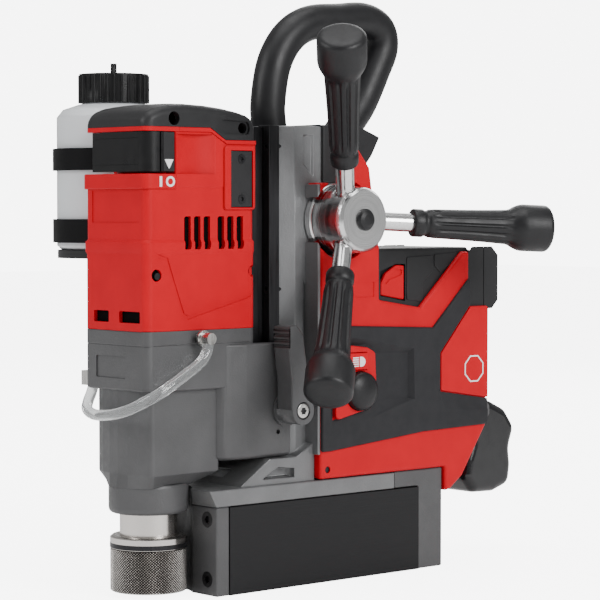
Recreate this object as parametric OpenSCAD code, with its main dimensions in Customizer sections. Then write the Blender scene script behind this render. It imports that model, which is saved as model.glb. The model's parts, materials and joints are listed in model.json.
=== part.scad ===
// Portable magnetic drill press with a battery, a rack-and-pinion feed and a permanent magnet foot.
// Frame: millimetres, +Z up, origin at the centre of the magnet's bottom face, spindle towards -Y.

/* [Magnet foot] */
// Length of the foot, front to back
foot_l = 194; // [192:1:196]
// Width of the foot
foot_w = 81; // [80:0.5:82]
// Height of the magnet block
foot_h = 54.9; // [54.5:0.1:55]
// Distance between two transverse pole bars
pole_pitch = 18; // [17:0.5:18]

/* [Column and slide] */
// Height of the top of the column
column_top = 290; // [286:1:292]
// Half width of the column casting
column_hw = 31; // [30:0.5:31]
// Half width of the sliding plate
slide_hw = 22; // [21:0.5:22]
// Height of the bottom of the sliding carriage at rest
carriage_z = 82.5; // [82:0.5:84]

/* [Feed] */
// Distance of the feed shaft behind the origin
feed_y = 5.5; // [5:0.5:6]
// Height of the feed shaft
feed_z = 230.65; // [230:0.05:231]
// Module of the rack and its pinion
rack_m = 1.5; // [1.5]
// Teeth of the feed pinion
pinion_z = 16; // [16]
// Outward lean of the three feed handles, in degrees
spoke_lean = 24.9; // [22:0.1:26]
// Length of a feed handle from the shaft axis to its end
spoke_l = 138.5; // [130:0.5:140]

/* [Spindle and gears] */
// Distance of the spindle axis in front of the origin
spindle_d = 118.4; // [118:0.1:119]
// Sideways place of the intermediate gear
inter_x = 11; // [10.5:0.5:11]
// Module of the gear train
gear_m = 1; // [1]
// Teeth of the motor pinion
z_motor = 9; // [9]
// Teeth of the large intermediate gear
z_inter_big = 30; // [30]
// Teeth of the small intermediate gear
z_inter_small = 12; // [12]
// Teeth of the spindle gear
z_spindle = 38; // [38]
// Diameter of the cutter arbor bore
arbor_d = 19.05; // [19.05]
// Radius of the chuck sleeve
chuck_r = 23.8; // [23:0.1:24]

/* [Motor unit] */
// Half width of the motor unit
motor_hw = 31.5; // [31:0.5:32]
// Front of the motor unit, before the origin
motor_front = 144; // [144:0.5:146]
// Thickness of the moulded shells
shell_t = 2.5; // [2.2:0.1:2.8]

/* [Rear housing] */
// Half width of the rear housing shells
housing_hw = 43; // [42.5:0.5:43.5]
// Half width of the battery
battery_hw = 39.5; // [38.5:0.5:39.5]

/* [Coolant] */
// Radius of the coolant bottle
bottle_r = 36.7; // [35:0.1:37]
// Outer radius of the coolant hose
hose_r = 3.4; // [3:0.1:3.5]

/* [Hidden] */
$fn = 48;
gap = 0.3;
run = 0.05;

red = [0.80, 0.07, 0.10];
dark = [0.16, 0.16, 0.17];
black = [0.06, 0.06, 0.06];
casting = [0.42, 0.42, 0.43];
silver = [0.62, 0.63, 0.64];
steel = [0.75, 0.74, 0.72];
oxide = [0.14, 0.14, 0.15];
brass = [0.72, 0.56, 0.25];

foot_y = foot_l / 2;
foot_x = foot_w / 2;
spindle_y = -spindle_d;
plate_top = 65.5;
magnet_y0 = -86.9;
magnet_y1 = 75;
pole_x = 32.6;
nose_recess_r = 27;

gear_pa = 25;
gear_add = 0.8;
gear_ded = 1.05;
backlash = 0.12;
c_high = gear_m * (z_motor + z_inter_big) / 2;
c_low = gear_m * (z_inter_small + z_spindle) / 2;
inter_y = spindle_y + sqrt(c_low * c_low - inter_x * inter_x);
motor_y = inter_y - sqrt(c_high * c_high - inter_x * inter_x);
low_dir = atan2(spindle_y - inter_y, -inter_x);
high_dir = atan2(motor_y - inter_y, -inter_x);
pinion_r = rack_m * pinion_z / 2;
rack_y = feed_y - pinion_r;

slide_back = -44.3;
tail_back = -36.3;
column_front = -35.5;
rack_x0 = 12.6;
rack_x1 = 20.6;

cover_z0 = 154.9;
cover_z1 = 163.6;
motor_back = -57.6;
shell_top = 285;
ring_z0 = 259.8;
ring_y = motor_y - 10;
core_r = 24;

bottle = [-72, -90];
valve = [-52, -74];
lock_axis = [-36.5, 111.7];
lock_x1 = 52;
lever_axis = [148, 100];
crank_d = 5;
button_at = [17.8, 121];
lamp_at = [15.4, 140];
hub_x0 = 31.7;
hub_x1 = 63;
spoke_x = 45.2;
spoke_turn = 27.15;

// ---- helpers ----

module slab(x0, x1, y0, y1, z0, z1) {
    translate([x0, y0, z0]) cube([x1 - x0, y1 - y0, z1 - z0]);
}

module rod_x(x0, x1, y, z, r) {
    translate([x0, y, z]) rotate([0, 90, 0]) cylinder(h = x1 - x0, r = r);
}

module rod_y(y0, y1, x, z, r) {
    translate([x, y0, z]) rotate([-90, 0, 0]) cylinder(h = y1 - y0, r = r);
}

module rod_z(z0, z1, x, y, r) {
    translate([x, y, z0]) cylinder(h = z1 - z0, r = r);
}

module ring_z(z0, z1, x, y, r_in, r_out) {
    difference() {
        rod_z(z0, z1, x, y, r_out);
        rod_z(z0 - 1, z1 + 1, x, y, r_in);
    }
}

// A side profile of [y, z] points, extruded from x0 to x1
module side_prism(points, x0, x1) {
    translate([x0, 0, 0]) rotate([90, 0, 90]) linear_extrude(x1 - x0) polygon(points);
}

module round_rect(x0, x1, y0, y1, r) {
    translate([x0 + r, y0]) square([x1 - x0 - 2 * r, y1 - y0]);
    translate([x0, y0 + r]) square([x1 - x0, y1 - y0 - 2 * r]);
    for (x = [x0 + r, x1 - r], y = [y0 + r, y1 - r]) translate([x, y]) circle(r);
}

module round_block(x0, x1, y0, y1, z0, z1, r) {
    translate([0, 0, z0]) linear_extrude(z1 - z0) round_rect(x0, x1, y0, y1, r);
}

module both_sides() {
    children();
    mirror([1, 0, 0]) children();
}

// Screw with a countersunk-flush head and a socket, pointing into +X from its head at x
module screw_x(x, y, z, head_r, shank_r, length, inward) {
    translate([x, y, z]) rotate([0, inward * 90, 0]) difference() {
        union() {
            cylinder(h = head_r * 0.6, r = head_r);
            cylinder(h = length, r = shank_r);
        }
        translate([0, 0, -0.1]) cylinder(h = head_r * 0.35, r = head_r * 0.5, $fn = 6);
    }
}

function unit(v) = v / norm(v);
function catmull(a, b, c, d, t) = 0.5 * (2 * b + (c - a) * t + (2 * a - 5 * b + 4 * c - d) * t * t
    + (3 * b - a - 3 * c + d) * t * t * t);
function smooth(p, n) = concat([for (i = [0:len(p) - 2], k = [0:n - 1])
    catmull(p[max(i - 1, 0)], p[i], p[i + 1], p[min(i + 2, len(p) - 1)], k / n)], [p[len(p) - 1]]);

// A closed tube swept along a path; ru and rv are its half widths across ref and along it
module sweep(path, ru, rv, sides, ref) {
    last = len(path) - 1;
    dirs = [for (i = [0:last]) unit(path[min(i + 1, last)] - path[max(i - 1, 0)])];
    rings = [for (i = [0:last]) let (u = unit(cross(dirs[i], ref)), v = cross(dirs[i], u))
        for (k = [0:sides - 1]) path[i] + ru * cos(360 * k / sides) * u + rv * sin(360 * k / sides) * v];
    walls = [for (i = [0:last - 1], k = [0:sides - 1]) let (a = i * sides + k, b = i * sides + (k + 1) % sides)
        [a, b, b + sides, a + sides]];
    caps = [[for (k = [sides - 1:-1:0]) k], [for (k = [0:sides - 1]) last * sides + k]];
    polyhedron(rings, concat(walls, caps));
}

// ---- gears ----

function involute(r, rb) = let (a = acos(min(1, rb / r))) tan(a) * 180 / PI - a;
function flank(m, z) = let (r = m * z / 2, rb = r * cos(gear_pa), r0 = max(rb, r - gear_ded * m),
    half = 90 / z - backlash / (2 * r) * 180 / PI)
    [for (k = [0:3]) let (q = r0 + (r + gear_add * m - r0) * k / 3) [q, half + involute(r, rb) - involute(q, rb)]];
function polar(r, a) = [r * cos(a), r * sin(a)];
function gear_outline(m, z) = let (f = flank(m, z), root = m * z / 2 - gear_ded * m)
    [for (i = [0:z - 1]) let (c = 360 * i / z) each concat([polar(root, c - f[0][1])],
        [for (k = [0:3]) polar(f[k][0], c - f[k][1])], [for (k = [3:-1:0]) polar(f[k][0], c + f[k][1])],
        [polar(root, c + f[0][1])])];

module gear(m, z, h, tooth_at) {
    rotate(tooth_at) linear_extrude(h) polygon(gear_outline(m, z));
}

// ---- magnet foot ----

module magnet_housing() {
    color(casting) difference() {
        side_prism([[-foot_y, 0], [-foot_y, foot_h], [53.4, foot_h], [53.4, 66], [foot_y, 66], [foot_y, 0]],
            -foot_x, foot_x);
        rod_z(-1, 80, 0, spindle_y, nose_recess_r);
        slab(-pole_x, pole_x, magnet_y0, magnet_y1, -1, 46);
        both_sides() slab(pole_x, foot_x + 1, magnet_y0, magnet_y1, -1, foot_h + 0.1);
        slab(-6, 6, 53, 74.5, 40, 70);
        for (x = [-1, 1], z = [10, 47]) base_screw_hole(x, z);
    }
}

module base_screw_hole(x, z) {
    translate([x * 31, -foot_y - 0.1, z]) rotate([-90, 0, 0]) {
        cylinder(h = 3, r = 5);
        cylinder(h = 9.5, r = 2.5);
    }
}

module pole_bars() {
    color(steel) for (i = [-4:4]) slab(-pole_x + 0.1, pole_x - 0.1, i * pole_pitch - 3, i * pole_pitch + 3, 0, 17);
}

module side_plates() {
    color(black) both_sides() slab(pole_x, foot_x + 0.4, magnet_y0, magnet_y1, 0, foot_h - 0.4);
}

module fixed_magnets() {
    color(silver) for (i = [-4:3])
        slab(-30, 30, (i + 0.5) * pole_pitch - 5.8, (i + 0.5) * pole_pitch + 5.8, 2, 16.5);
}

module shifting_magnets() {
    color(silver) for (i = [-4:3])
        slab(-30, 30, (i + 0.5) * pole_pitch - 10.8, (i + 0.5) * pole_pitch + 0.8, 18, 33);
}

module shift_bar() {
    color(oxide) {
        slab(-30, 30, -80, 63.8, 33, 38);
        side_prism([[56, 37], [56, 76], [98, 76], [112, 101], [149, 101], [149, 88.5], [146.2, 88.5], [146.2, 98.2],
            [139.8, 98.2], [139.8, 88.5], [137, 88.5], [137, 91], [118, 91], [104, 70.6], [63.8, 70.6], [63.8, 37]],
            -5, 5);
    }
}

module magnet_lever() {
    color(black) {
        difference() {
            union() {
                side_prism([[142, 96], [146, 80], [142, 66], [138.5, 54], [146, 45], [157, 42], [172.6, 42],
                    [183, 47.5], [185.5, 60], [184.5, 72], [188.7, 83.5], [188, 90], [180, 97.5], [172, 102.5],
                    [164, 105], [151, 106]], -22, 22);
                rod_x(-22, 22, lever_axis[0], lever_axis[1], 6.6);
            }
            rod_x(-6.4, 6.4, lever_axis[0], lever_axis[1], 17);
            side_prism([[146, 84], [148, 77], [160, 74], [174, 78], [178, 86], [170, 92]], -23, 23);
            both_sides() rod_x(6, 23, lever_axis[0], lever_axis[1], 4 + run);
        }
        rod_x(-8, 8, lever_axis[0] - crank_d, lever_axis[1] - crank_d, 2.6);
    }
}

module lever_bracket() {
    color(casting) difference() {
        union() {
            slab(-30, 30, 136.9, 139.8, 92.6, 112);
            both_sides() side_prism([[137, 93], [151, 93], [155, 97], [155, 103], [151, 107], [137, 112]], 23, 28);
        }
        slab(-9, 9, 130, 150, 86, 104);
        rod_x(-40, 40, lever_axis[0], lever_axis[1], 4);
    }
}

module lever_pins() {
    color(steel) both_sides() rod_x(7, 28.5, lever_axis[0], lever_axis[1], 4);
}

// ---- column ----

module column() {
    color(silver) difference() {
        union() {
            translate([0, 0, 66]) linear_extrude(column_top - 66) polygon([[-column_hw, 22], [-column_hw, -24.6],
                [-25, column_front], [25, column_front], [column_hw, -24.6], [column_hw, 22]]);
            side_prism([[-102.4, plate_top], [-foot_y, foot_h], [53.3, foot_h], [53.3, plate_top]],
                -foot_x, foot_x);
            side_prism([[-76, plate_top], [-73.8, 68], [-52, 81.6], [-30, 81.6], [-14.6, 90], [-14.6, plate_top]],
                -38, 38);
        }
        rod_z(50, 80, 0, spindle_y, nose_recess_r);
        slab(rack_x0 - 0.5, rack_x1 + 0.5, -40, rack_y + 2.6, 77, column_top + 1);
        rod_x(rack_x0 - 0.6, rack_x1 + 0.6, feed_y, feed_z, pinion_r + 2.4);
        rod_x(-column_hw - 1, column_hw + 1, feed_y, feed_z, 10);
        slab(-26, 9, -14, 23, 96, 204);
        slab(9, 26, -1, 23, 96, 204);
        both_sides() {
            side_prism([[-57.5, 69.1], [-45.9, 75.5], [-31.8, 75.5], [-31.8, 69.1]], 30, 40);
            side_prism([[-17.6, 284], [-10, 284], [-10, 259], [-17.6, 266]], column_hw - 1.5, 40);
            side_prism([[-17.6, 191], [-10, 180], [-10, 112], [-17.6, 112]], column_hw - 1.5, 40);
        }
        for (x = [-1, 1], z = [187, 277]) screw_hole_y(x * 25, -44, z);
        translate([0, -66, 70.4]) rotate([32, 0, 0]) translate([-14, -4, -3]) cube([28, 8, 12]);
    }
}

module screw_hole_y(x, y, z) {
    translate([x, y, z]) rotate([-90, 0, 0]) cylinder(h = 16 + run, r = 1.5 + run);
}

module work_light() {
    color(silver) translate([0, -66, 70.4]) rotate([32, 0, 0]) translate([-13.9, -3.9, -2.9])
        cube([27.8, 7.8, 3.5]);
}

module guide_rails() {
    color(oxide) both_sides() difference() {
        translate([0, 0, 84]) linear_extrude(column_top - 84) polygon([[17.4, -44], [28, -44],
            [28, column_front], [21.65, column_front]]);
        for (z = [187, 277]) translate([25, -45, z]) rotate([-90, 0, 0]) {
            cylinder(h = 3.5, r = 2.6);
            cylinder(h = 20, r = 1.5 + run);
        }
    }
}

module pinion_bushes() {
    color(brass) for (span = [[-column_hw, 11.9], [21.3, column_hw]]) difference() {
        rod_x(span[0], span[1], feed_y, feed_z, 10 - run);
        rod_x(span[0] - 1, span[1] + 1, feed_y, feed_z, 7.5 + run);
    }
}

module stand_screws() {
    color(oxide) {
        for (x = [-1, 1], z = [187, 277]) translate([x * 25, -44, z]) rotate([-90, 0, 0]) difference() {
            union() {
                cylinder(h = 2.4, r = 2.5);
                cylinder(h = 16, r = 1.5);
            }
            translate([0, 0, -0.1]) cylinder(h = 1.4, r = 1.3, $fn = 6);
        }
        both_sides() rod_x(40.3, 42, -8, 72, 2.2);
        rod_x(-42, -40.3, -8, 240, 2.2);
        for (x = [-1, 1], z = [10, 47]) translate([x * 31, -foot_y, z]) rotate([-90, 0, 0]) difference() {
            union() {
                cylinder(h = 2.8, r = 4.9);
                cylinder(h = 9, r = 2.4);
            }
            translate([0, 0, -0.1]) cylinder(h = 1.8, r = 2.4, $fn = 6);
        }
    }
}

module carry_handle() {
    route = [[0, -20, column_top], [0, -21, 305], [0, -16, 330], [0, -4, 348], [0, 14, 358], [0, 40, 361],
        [0, 62, 362.6], [0, 76, 357], [0, 79, 345], [0, 72, 330], [0, 59, 307], [0, 45, 291], [0, 36, 281]];
    color(black) sweep(smooth(route, 3), 11.4, 11.2, 12, [1, 0, 0]);
}

module tower_cap() {
    color(dark) difference() {
        side_prism([[-3, 254.2], [-3, column_top + 1], [28, column_top + 1], [47, 284], [40, 272], [31.4, 262],
            [31.4, 254.2]], -33, 33);
        slab(-column_hw - 0.1, column_hw + 0.1, -4, 22.1, 250, column_top + 0.05);
        slab(-40, 40, 15.1, 60, 250, 254.2);
        side_prism([[15, 250], [15, 277.1], [18, 277.1], [29.1, 264], [31.5, 251]], -40, 40);
    }
}

// ---- rear housing ----

housing_profile = [[-14, 66.2], [-14, 254], [15, 254], [15, 277], [18, 277], [29, 264], [31, 251], [37.6, 212],
    [37.6, 178.7], [74.3, 173], [113.5, 209], [119.9, 209], [119.9, 173], [135, 172.6], [136.8, 170.5],
    [136.8, 92.4], [114, 59], [103, 51], [97.6, 50], [97.6, 66.2]];
bay_profile = [[-11, 69], [-11, 144.5], [133.8, 144.5], [133.8, 93.5], [112.4, 62], [101, 54.5], [100, 69]];

module housing_body() {
    difference() {
        side_prism(housing_profile, -housing_hw, housing_hw);
        side_prism(bay_profile, -housing_hw + 3, housing_hw - 3);
        slab(-column_hw - 0.1, column_hw + 0.1, -20, 22.1, 60, 300);
        slab(-battery_hw - 0.7, battery_hw + 0.7, 26, 200, 147.5, 213);
        both_sides() slab(column_hw + 0.1, housing_hw - 3, -11, 22.1, 69, 248);
        slab(-8, 8, 130, 140, 87, 103);
        slab(-6, 6, 53, 74.5, 60, 70);
        slab(-26.1, 26.1, 22, 26.1, 149.9, 172.1);
        slab(-foot_x - 0.1, foot_x + 0.1, -20, 53.4, 60, 66.6);
        for (z = [72, 240]) rod_x(-50, 50, -8, z, 2.2);
    }
}

module housing_right() {
    color(red) difference() {
        intersection() {
            housing_body();
            slab(0, 60, -30, 200, 0, 400);
        }
        rod_x(30, 60, feed_y, feed_z, 26);
        rod_x(30, 60, button_at[0], button_at[1], 12.9);
        slab(30, 60, lamp_at[0] - 8.4, lamp_at[0] + 8.4, lamp_at[1] - 5.9, lamp_at[1] + 5.9);
    }
}

module housing_left() {
    color(red) intersection() {
        housing_body();
        slab(-60, 0, -30, 200, 0, 400);
    }
}

module side_overmoulds() {
    outline = [[-14, 83.6], [-6.9, 83.6], [76.3, 91.1], [136.8, 92.4], [136.8, 109.9], [91.3, 116.8], [91.3, 142.2],
        [119.2, 173.1], [119.9, 192.6], [85, 159.5], [-14, 164]];
    color(dark) {
        difference() {
            side_prism(outline, housing_hw, housing_hw + 1.6);
            side_prism(lamp_outline(0.2), 0, 60);
        }
        mirror([1, 0, 0]) side_prism(outline, housing_hw, housing_hw + 1.6);
    }
}

function lamp_outline(d) = [[-3 - d, 103 - d], [-3 - d, 150.4 + d], [10.6, 150.4 + d], [24.6 + d, 148.6 + d],
    [31.3 + d, 145.4 + d], [32.8 + d, 114.7], [27 + d, 109.4 - d]];

module lamp_panel() {
    color(red) difference() {
        side_prism(lamp_outline(0), housing_hw, housing_hw + 2.6);
        rod_x(30, 60, button_at[0], button_at[1], 12.9);
        slab(30, 60, lamp_at[0] - 8.4, lamp_at[0] + 8.4, lamp_at[1] - 5.9, lamp_at[1] + 5.9);
    }
}

module stop_panels() {
    color(red) both_sides() side_prism([[119.6, 172.4], [135.4, 172.4], [136.4, 170.5], [136.4, 110.5],
        [91.9, 117.4], [91.9, 141.9]], housing_hw, housing_hw + 1.8);
}

module control_board() {
    color([0.1, 0.35, 0.2]) {
        slab(-30, 30, 45, 92, 78, 80);
        slab(-22, 22, 50, 80, 80, 92);
        both_sides() rod_z(80, 96, 14, 86, 3.6);
    }
}

module terminal_block() {
    color(black) {
        slab(-30, 30, 60, 100, 140, 144.5);
        slab(-26, 26, 22.2, 25.9, 150, 172);
    }
}

module motor_button() {
    color(black) {
        rod_x(34, 36.4, button_at[0], button_at[1], 13.2);
        rod_x(36.4, 48, button_at[0], button_at[1], 12.4);
        translate([48, button_at[0], button_at[1]]) rotate([0, 90, 0]) rotate_extrude()
            polygon(concat([[0, 0]], [for (a = [0:15:90]) [12.4 * cos(a), 5.6 * sin(a)]]));
    }
}

module lamp_button() {
    color(red) {
        slab(37, 38.6, lamp_at[0] - 10, lamp_at[0] + 10, lamp_at[1] - 5.5, lamp_at[1] + 4.2);
        slab(38.6, 46.6, lamp_at[0] - 8, lamp_at[0] + 8, lamp_at[1] - 5.5, lamp_at[1] + 5.5);
    }
}

module battery_case() {
    color(dark) difference() {
        union() {
            side_prism([[27, 148], [27, 208], [31, 212], [121, 212], [123, 209.6], [141, 209.6], [145, 205.5],
                [145, 176], [141, 172], [136, 170], [136, 148]], -battery_hw, battery_hw);
            side_prism([[121.2, 173.6], [121.2, 208], [123, 209.6], [141, 209.6], [145, 205.5], [145, 176],
                [141, 173.6]], -42.5, 42.5);
        }
        both_sides() slab(battery_hw - 5, battery_hw + 1, 52, 72, 184, 200);
    }
}

module battery_latch(side) {
    color(black) mirror([side < 0 ? 1 : 0, 0, 0]) {
        slab(battery_hw - 2.6, battery_hw + 0.4, 52.4, 71.6, 184.4, 199.6);
    }
}

// ---- gearcase and slide ----

// Plan of the lower gearcase: a box with a shallow round front
module nose_plan(grow) {
    intersection() {
        translate([-27 - grow, spindle_y - 25 - grow]) square([54 + 2 * grow, 60 + grow]);
        translate([0, spindle_y + 51.8]) circle(75.4 + grow, $fn = 96);
    }
}

module motor_plan(inset) {
    round_rect(-motor_hw + inset, motor_hw - inset, -motor_front + inset, motor_back - inset, 5 - inset / 2);
}

module gearcase() {
    color(casting) difference() {
        union() {
            rod_z(51, 70, 0, spindle_y, 24.7);
            hull() {
                translate([0, 0, 68]) linear_extrude(0.1) nose_plan(-5);
                translate([0, 0, 75]) linear_extrude(0.1) nose_plan(0);
            }
            translate([0, 0, 75]) linear_extrude(53) nose_plan(0);
            translate([0, 0, 127.1]) linear_extrude(cover_z0 - 127.1) motor_plan(0);
            slab(-34.5, 34.5, -84, -31.7, carriage_z, 154);
        }
        rod_z(50, 70, 0, spindle_y, 18.6);
        rod_z(69.5, 83, 0, spindle_y, 17.5);
        rod_z(80, 130, 0, spindle_y, 13);
        rod_z(112.5, 128.5, 0, spindle_y, 16);
        rod_z(128.5, 156, 0, spindle_y, 20.7);
        rod_z(128.5, 156, inter_x, inter_y, 16.7);
        rod_z(120.5, 130, inter_x, inter_y, 7);
        slab(-28.6, 28.6, -57, -30, 82, 156);
        slab(-28.6, 28.6, -57.7, -57, 150, 156);
        for (x = [-1, 1], z = [96, 140]) rod_y(-70, -56, x * 14, z, 2.6);
        rod_x(31, 36, lock_axis[0] - 5.4, 95, 1.5);
        lock_hole();
        round_block(-11, 11, -150, -143.2, 133, 149, 2);
    }
}

module lock_hole() {
    rod_x(27, 36, lock_axis[0], lock_axis[1], 3);
}

module gearcase_cover() {
    color(casting) difference() {
        translate([0, 0, cover_z0]) linear_extrude(cover_z1 - cover_z0) motor_plan(0);
        rod_z(150, 170, 0, motor_y, 4.6);
        rod_z(156, 170, 0, motor_y, 11);
        rod_z(150, 161, inter_x, inter_y, 7);
        rod_x(26, 40, -104, 158.8, 3);
    }
}

module slide_plate() {
    color(oxide) difference() {
        translate([0, 0, 84]) linear_extrude(205) polygon([[-slide_hw, -57], [slide_hw, -57],
            [slide_hw, slide_back], [16.8, slide_back], [20.9, tail_back], [-20.9, tail_back],
            [-16.8, slide_back], [-slide_hw, slide_back]]);
        for (x = [-1, 1], z = [96, 140]) rod_y(-70, -40, x * 14, z, 2.6);
    }
}

module rack() {
    pitch = PI * rack_m;
    half = pitch / 4 - backlash / 2;
    root = rack_y - gear_ded * rack_m;
    tip = rack_y + gear_add * rack_m;
    teeth = [for (k = [-32:1]) let (c = feed_z + (k + 0.5) * pitch) each [
        [root, c - half - gear_ded * rack_m * tan(gear_pa)], [tip, c - half + gear_add * rack_m * tan(gear_pa)],
        [tip, c + half - gear_add * rack_m * tan(gear_pa)], [root, c + half + gear_ded * rack_m * tan(gear_pa)]]];
    color(steel) side_prism(concat([[tail_back, 78.6]], [[root, 78.6]], teeth, [[root, 240]], [[tail_back, 240]]),
        rack_x0, rack_x1);
}

// ---- motor ----

module motor_shell() {
    difference() {
        union() {
            intersection() {
                translate([0, 0, cover_z1]) linear_extrude(shell_top - cover_z1) motor_plan(0);
                side_prism([[-150, 160], [-150, ring_z0 - 0.3], [-121.6, ring_z0 - 0.3], [-121.6, shell_top],
                    [-93.2, shell_top], [-81.1, 277.8], [-50, 277.8], [-50, 160]], -40, 40);
            }
            intersection() {
                rod_z(ring_z0 - 1, shell_top, 0, motor_y, core_r);
                side_prism([[-150, 250], [-150, shell_top], [-93.2, shell_top], [-81.1, 277.8], [-81.1, 250]],
                    -40, 40);
            }
            both_sides() round_frame();
        }
        intersection() {
            translate([0, 0, cover_z1 - 1]) linear_extrude(116) motor_plan(shell_t);
            side_prism([[-150, 160], [-150, 257.2], [-119, 257.2], [-119, shell_top - 3], [-94, shell_top - 3],
                [-81.5, 275], [-50, 275], [-50, 160]], -40, 40);
        }
        rod_z(255, shell_top - 3, 0, motor_y, core_r - 3);
        both_sides() for (y0 = [-113, -90], k = [0:2])
            side_prism([[y0 + k * 6, 214], [y0 + k * 6, 233], [y0 + 4 + k * 6, 234], [y0 + 4 + k * 6, 212]], 27, 40);
        slab(-21, -10, -150, -140, 173, 181);
        slab(-6, 12, -150, -140, 173, 181);
        both_sides() for (z = [243.6, 268.4]) rod_x(27, 40, -70.3, z, 1.6);
        for (p = [[-135, 197], [-64, 206]]) rod_x(-40, 40, p[0], p[1], 2.2);
        both_sides() slab(motor_hw - 0.4, 40, -78.8, -61.9, 238.7, 273.3);
    }
}

module round_frame() {
    side_prism([[-81.5, 236.5], [-81.5, 275.5], [-59.4, 275.5], [-59.4, 236.5]], motor_hw - 1, motor_hw + 1.4);
}

module motor_bulkhead() {
    difference() {
        translate([0, 0, 240.2]) linear_extrude(6.8) motor_plan(shell_t);
        rod_z(239, 250, 0, motor_y, 9.5);
        for (a = [0:60:300]) translate([0, motor_y, 239]) rotate(a + 30) translate([17.5, 0, 0])
            cylinder(h = 10, r = 5);
    }
}

module motor_housing_left() {
    color(red) intersection() {
        union() {
            motor_shell();
            motor_bulkhead();
        }
        slab(-60, 0, -160, -40, 150, 300);
    }
}

module motor_housing_right() {
    color(red) intersection() {
        union() {
            motor_shell();
            motor_bulkhead();
        }
        slab(0, 60, -160, -40, 150, 300);
    }
}

module top_cap() {
    color(dark) difference() {
        intersection() {
            translate([0, 0, 270]) linear_extrude(40) motor_plan(0);
            side_prism([[-motor_front, shell_top], [-motor_front, 289], [-141, 294], [-135, 298], [-126, 300.6],
                [-114, 301.4], [-102, 301.2], [-85, 299.2], [-67, 296.5], [-60, 292], [-57.6, 286],
                [-57.6, 277.8], [-81.1, 277.8], [-93.2, shell_top]], -40, 40);
        }
        side_prism([[-135, shell_top - 0.1], [-135, 290], [-126, 297], [-67, 293], [-62, 288], [-62, 281],
            [-80, 281], [-92, 288], [-92, shell_top - 0.1]], -28, 28);
        both_sides() {
            rod_x(20, 40, -122, 294, 4.4);
            side_prism([[-78, 282], [-62.5, 282], [-61.5, 286], [-63, 291], [-80, 291.5], [-83, 286]], 29.5, 40);
        }
    }
}

module motor_side_plate() {
    color(dark) both_sides() difference() {
        slab(motor_hw - 0.4, motor_hw + 1.2, -78.8, -61.9, 238.7, 273.3);
        for (z = [243.6, 268.4]) rod_x(27, 40, -70.3, z, 3);
    }
}

module carriage_screws() {
    color(oxide) {
        both_sides() for (z = [243.6, 268.4]) screw_x(motor_hw + 1.35, -70.3, z, 2.9, 1.55, 3.8, -1);
        for (x = [-1, 1], z = [96, 140]) difference() {
            rod_y(-68, -46, x * 14, z, 2.55);
            rod_y(-47.5, -45, x * 14, z, 1.2);
        }
        rod_x(29, lock_x1 - 2.4, lock_axis[0], lock_axis[1], 3);
        both_sides() for (p = [[-135, 197], [-64, 206]]) rod_x(motor_hw - 2.4, motor_hw - 0.8, p[0], p[1], 2.2);
        rod_x(lock_x1 - 3.6, lock_x1 - 0.6, lock_axis[0], lock_axis[1], 5.2);
    }
}

module stator() {
    color([0.5, 0.32, 0.2]) difference() {
        ring_z(172, 222, 0, motor_y, 17.4, 27.6);
        for (a = [0:60:300]) translate([0, motor_y, 171]) rotate(a) translate([16, -1.2, 0]) cube([7.4, 2.4, 52]);
    }
}

module rotor_core() {
    color(steel) ring_z(175, 219, 0, motor_y, 4, 16.6);
}

module rotor_shaft() {
    color(steel) union() {
        translate([0, motor_y, 144.4]) gear(gear_m, z_motor, 8, high_dir + 180);
        rod_z(144.4, 154, 0, motor_y, 3.3);
        rod_z(153.4, 247, 0, motor_y, 4);
    }
}

module cooling_fan() {
    color(black) {
        ring_z(226, 236, 0, motor_y, 4, 8);
        ring_z(226, 227.6, 0, motor_y, 8, 26);
        for (a = [0:40:320]) translate([0, motor_y, 227.6]) rotate(a) translate([7.5, -0.8, 0]) cube([18, 1.6, 8.4]);
    }
}

module shaft_bearings() {
    color(steel) {
        ring_z(70, 82, 0, spindle_y, 10 + run, 17.5 - run);
        ring_z(113, 125, 0, spindle_y, 10 + run, 16 - run);
        ring_z(121, 128.2, inter_x, inter_y, 4 + run, 7 - run);
        ring_z(155.2, 160.8, inter_x, inter_y, 4 + run, 7 - run);
        ring_z(156.2, 163, 0, motor_y, 4 + run, 11 - run);
        ring_z(240.4, 246.8, 0, motor_y, 4 + run, 9.5 - run);
    }
}

module intermediate_gear() {
    color(steel) {
        rod_z(121.2, 160.4, inter_x, inter_y, 4);
        difference() {
            translate([inter_x, inter_y, 144]) gear(gear_m, z_inter_big, 8.6, high_dir + 180 / z_inter_big);
            rod_z(140, 160, inter_x, inter_y, 3.9);
        }
        difference() {
            translate([inter_x, inter_y, 129.6]) gear(gear_m, z_inter_small, 14.4, low_dir);
            rod_z(125, 145, inter_x, inter_y, 3.9);
        }
    }
}

module spindle() {
    color(steel) difference() {
        union() {
            rod_z(60, 141.5, 0, spindle_y, 10);
            rod_z(60, 68.5, 0, spindle_y, 13);
            translate([0, spindle_y, 129.8]) gear(gear_m, z_spindle, 10, low_dir + 180 + 180 / z_spindle);
        }
        rod_z(59, 142, 0, spindle_y, 3.2);
    }
}

module chuck_body() {
    arbor_r = arbor_d / 2;
    color(steel) translate([0, spindle_y, 0]) rotate_extrude($fn = 96) polygon([[arbor_r, 3.5], [19.7, 3.5],
        [19.7, 29.3], [chuck_r, 29.3], [chuck_r, 35.8], [chuck_r - 1.5, 37], [17.8, 37], [17.8, 60],
        [3.2, 60], [3.2, 52], [arbor_r, 52]]);
}

module chuck_sleeve() {
    color(steel) translate([0, spindle_y, 0]) rotate_extrude($fn = 96) polygon([[19.7 + run, 2.5],
        [chuck_r - 1, 2.5], [chuck_r, 3.5], [chuck_r, 28.2], [chuck_r - 0.8, 29], [19.7 + run, 29]]);
}

// ---- power switch and lock lever ----

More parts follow.
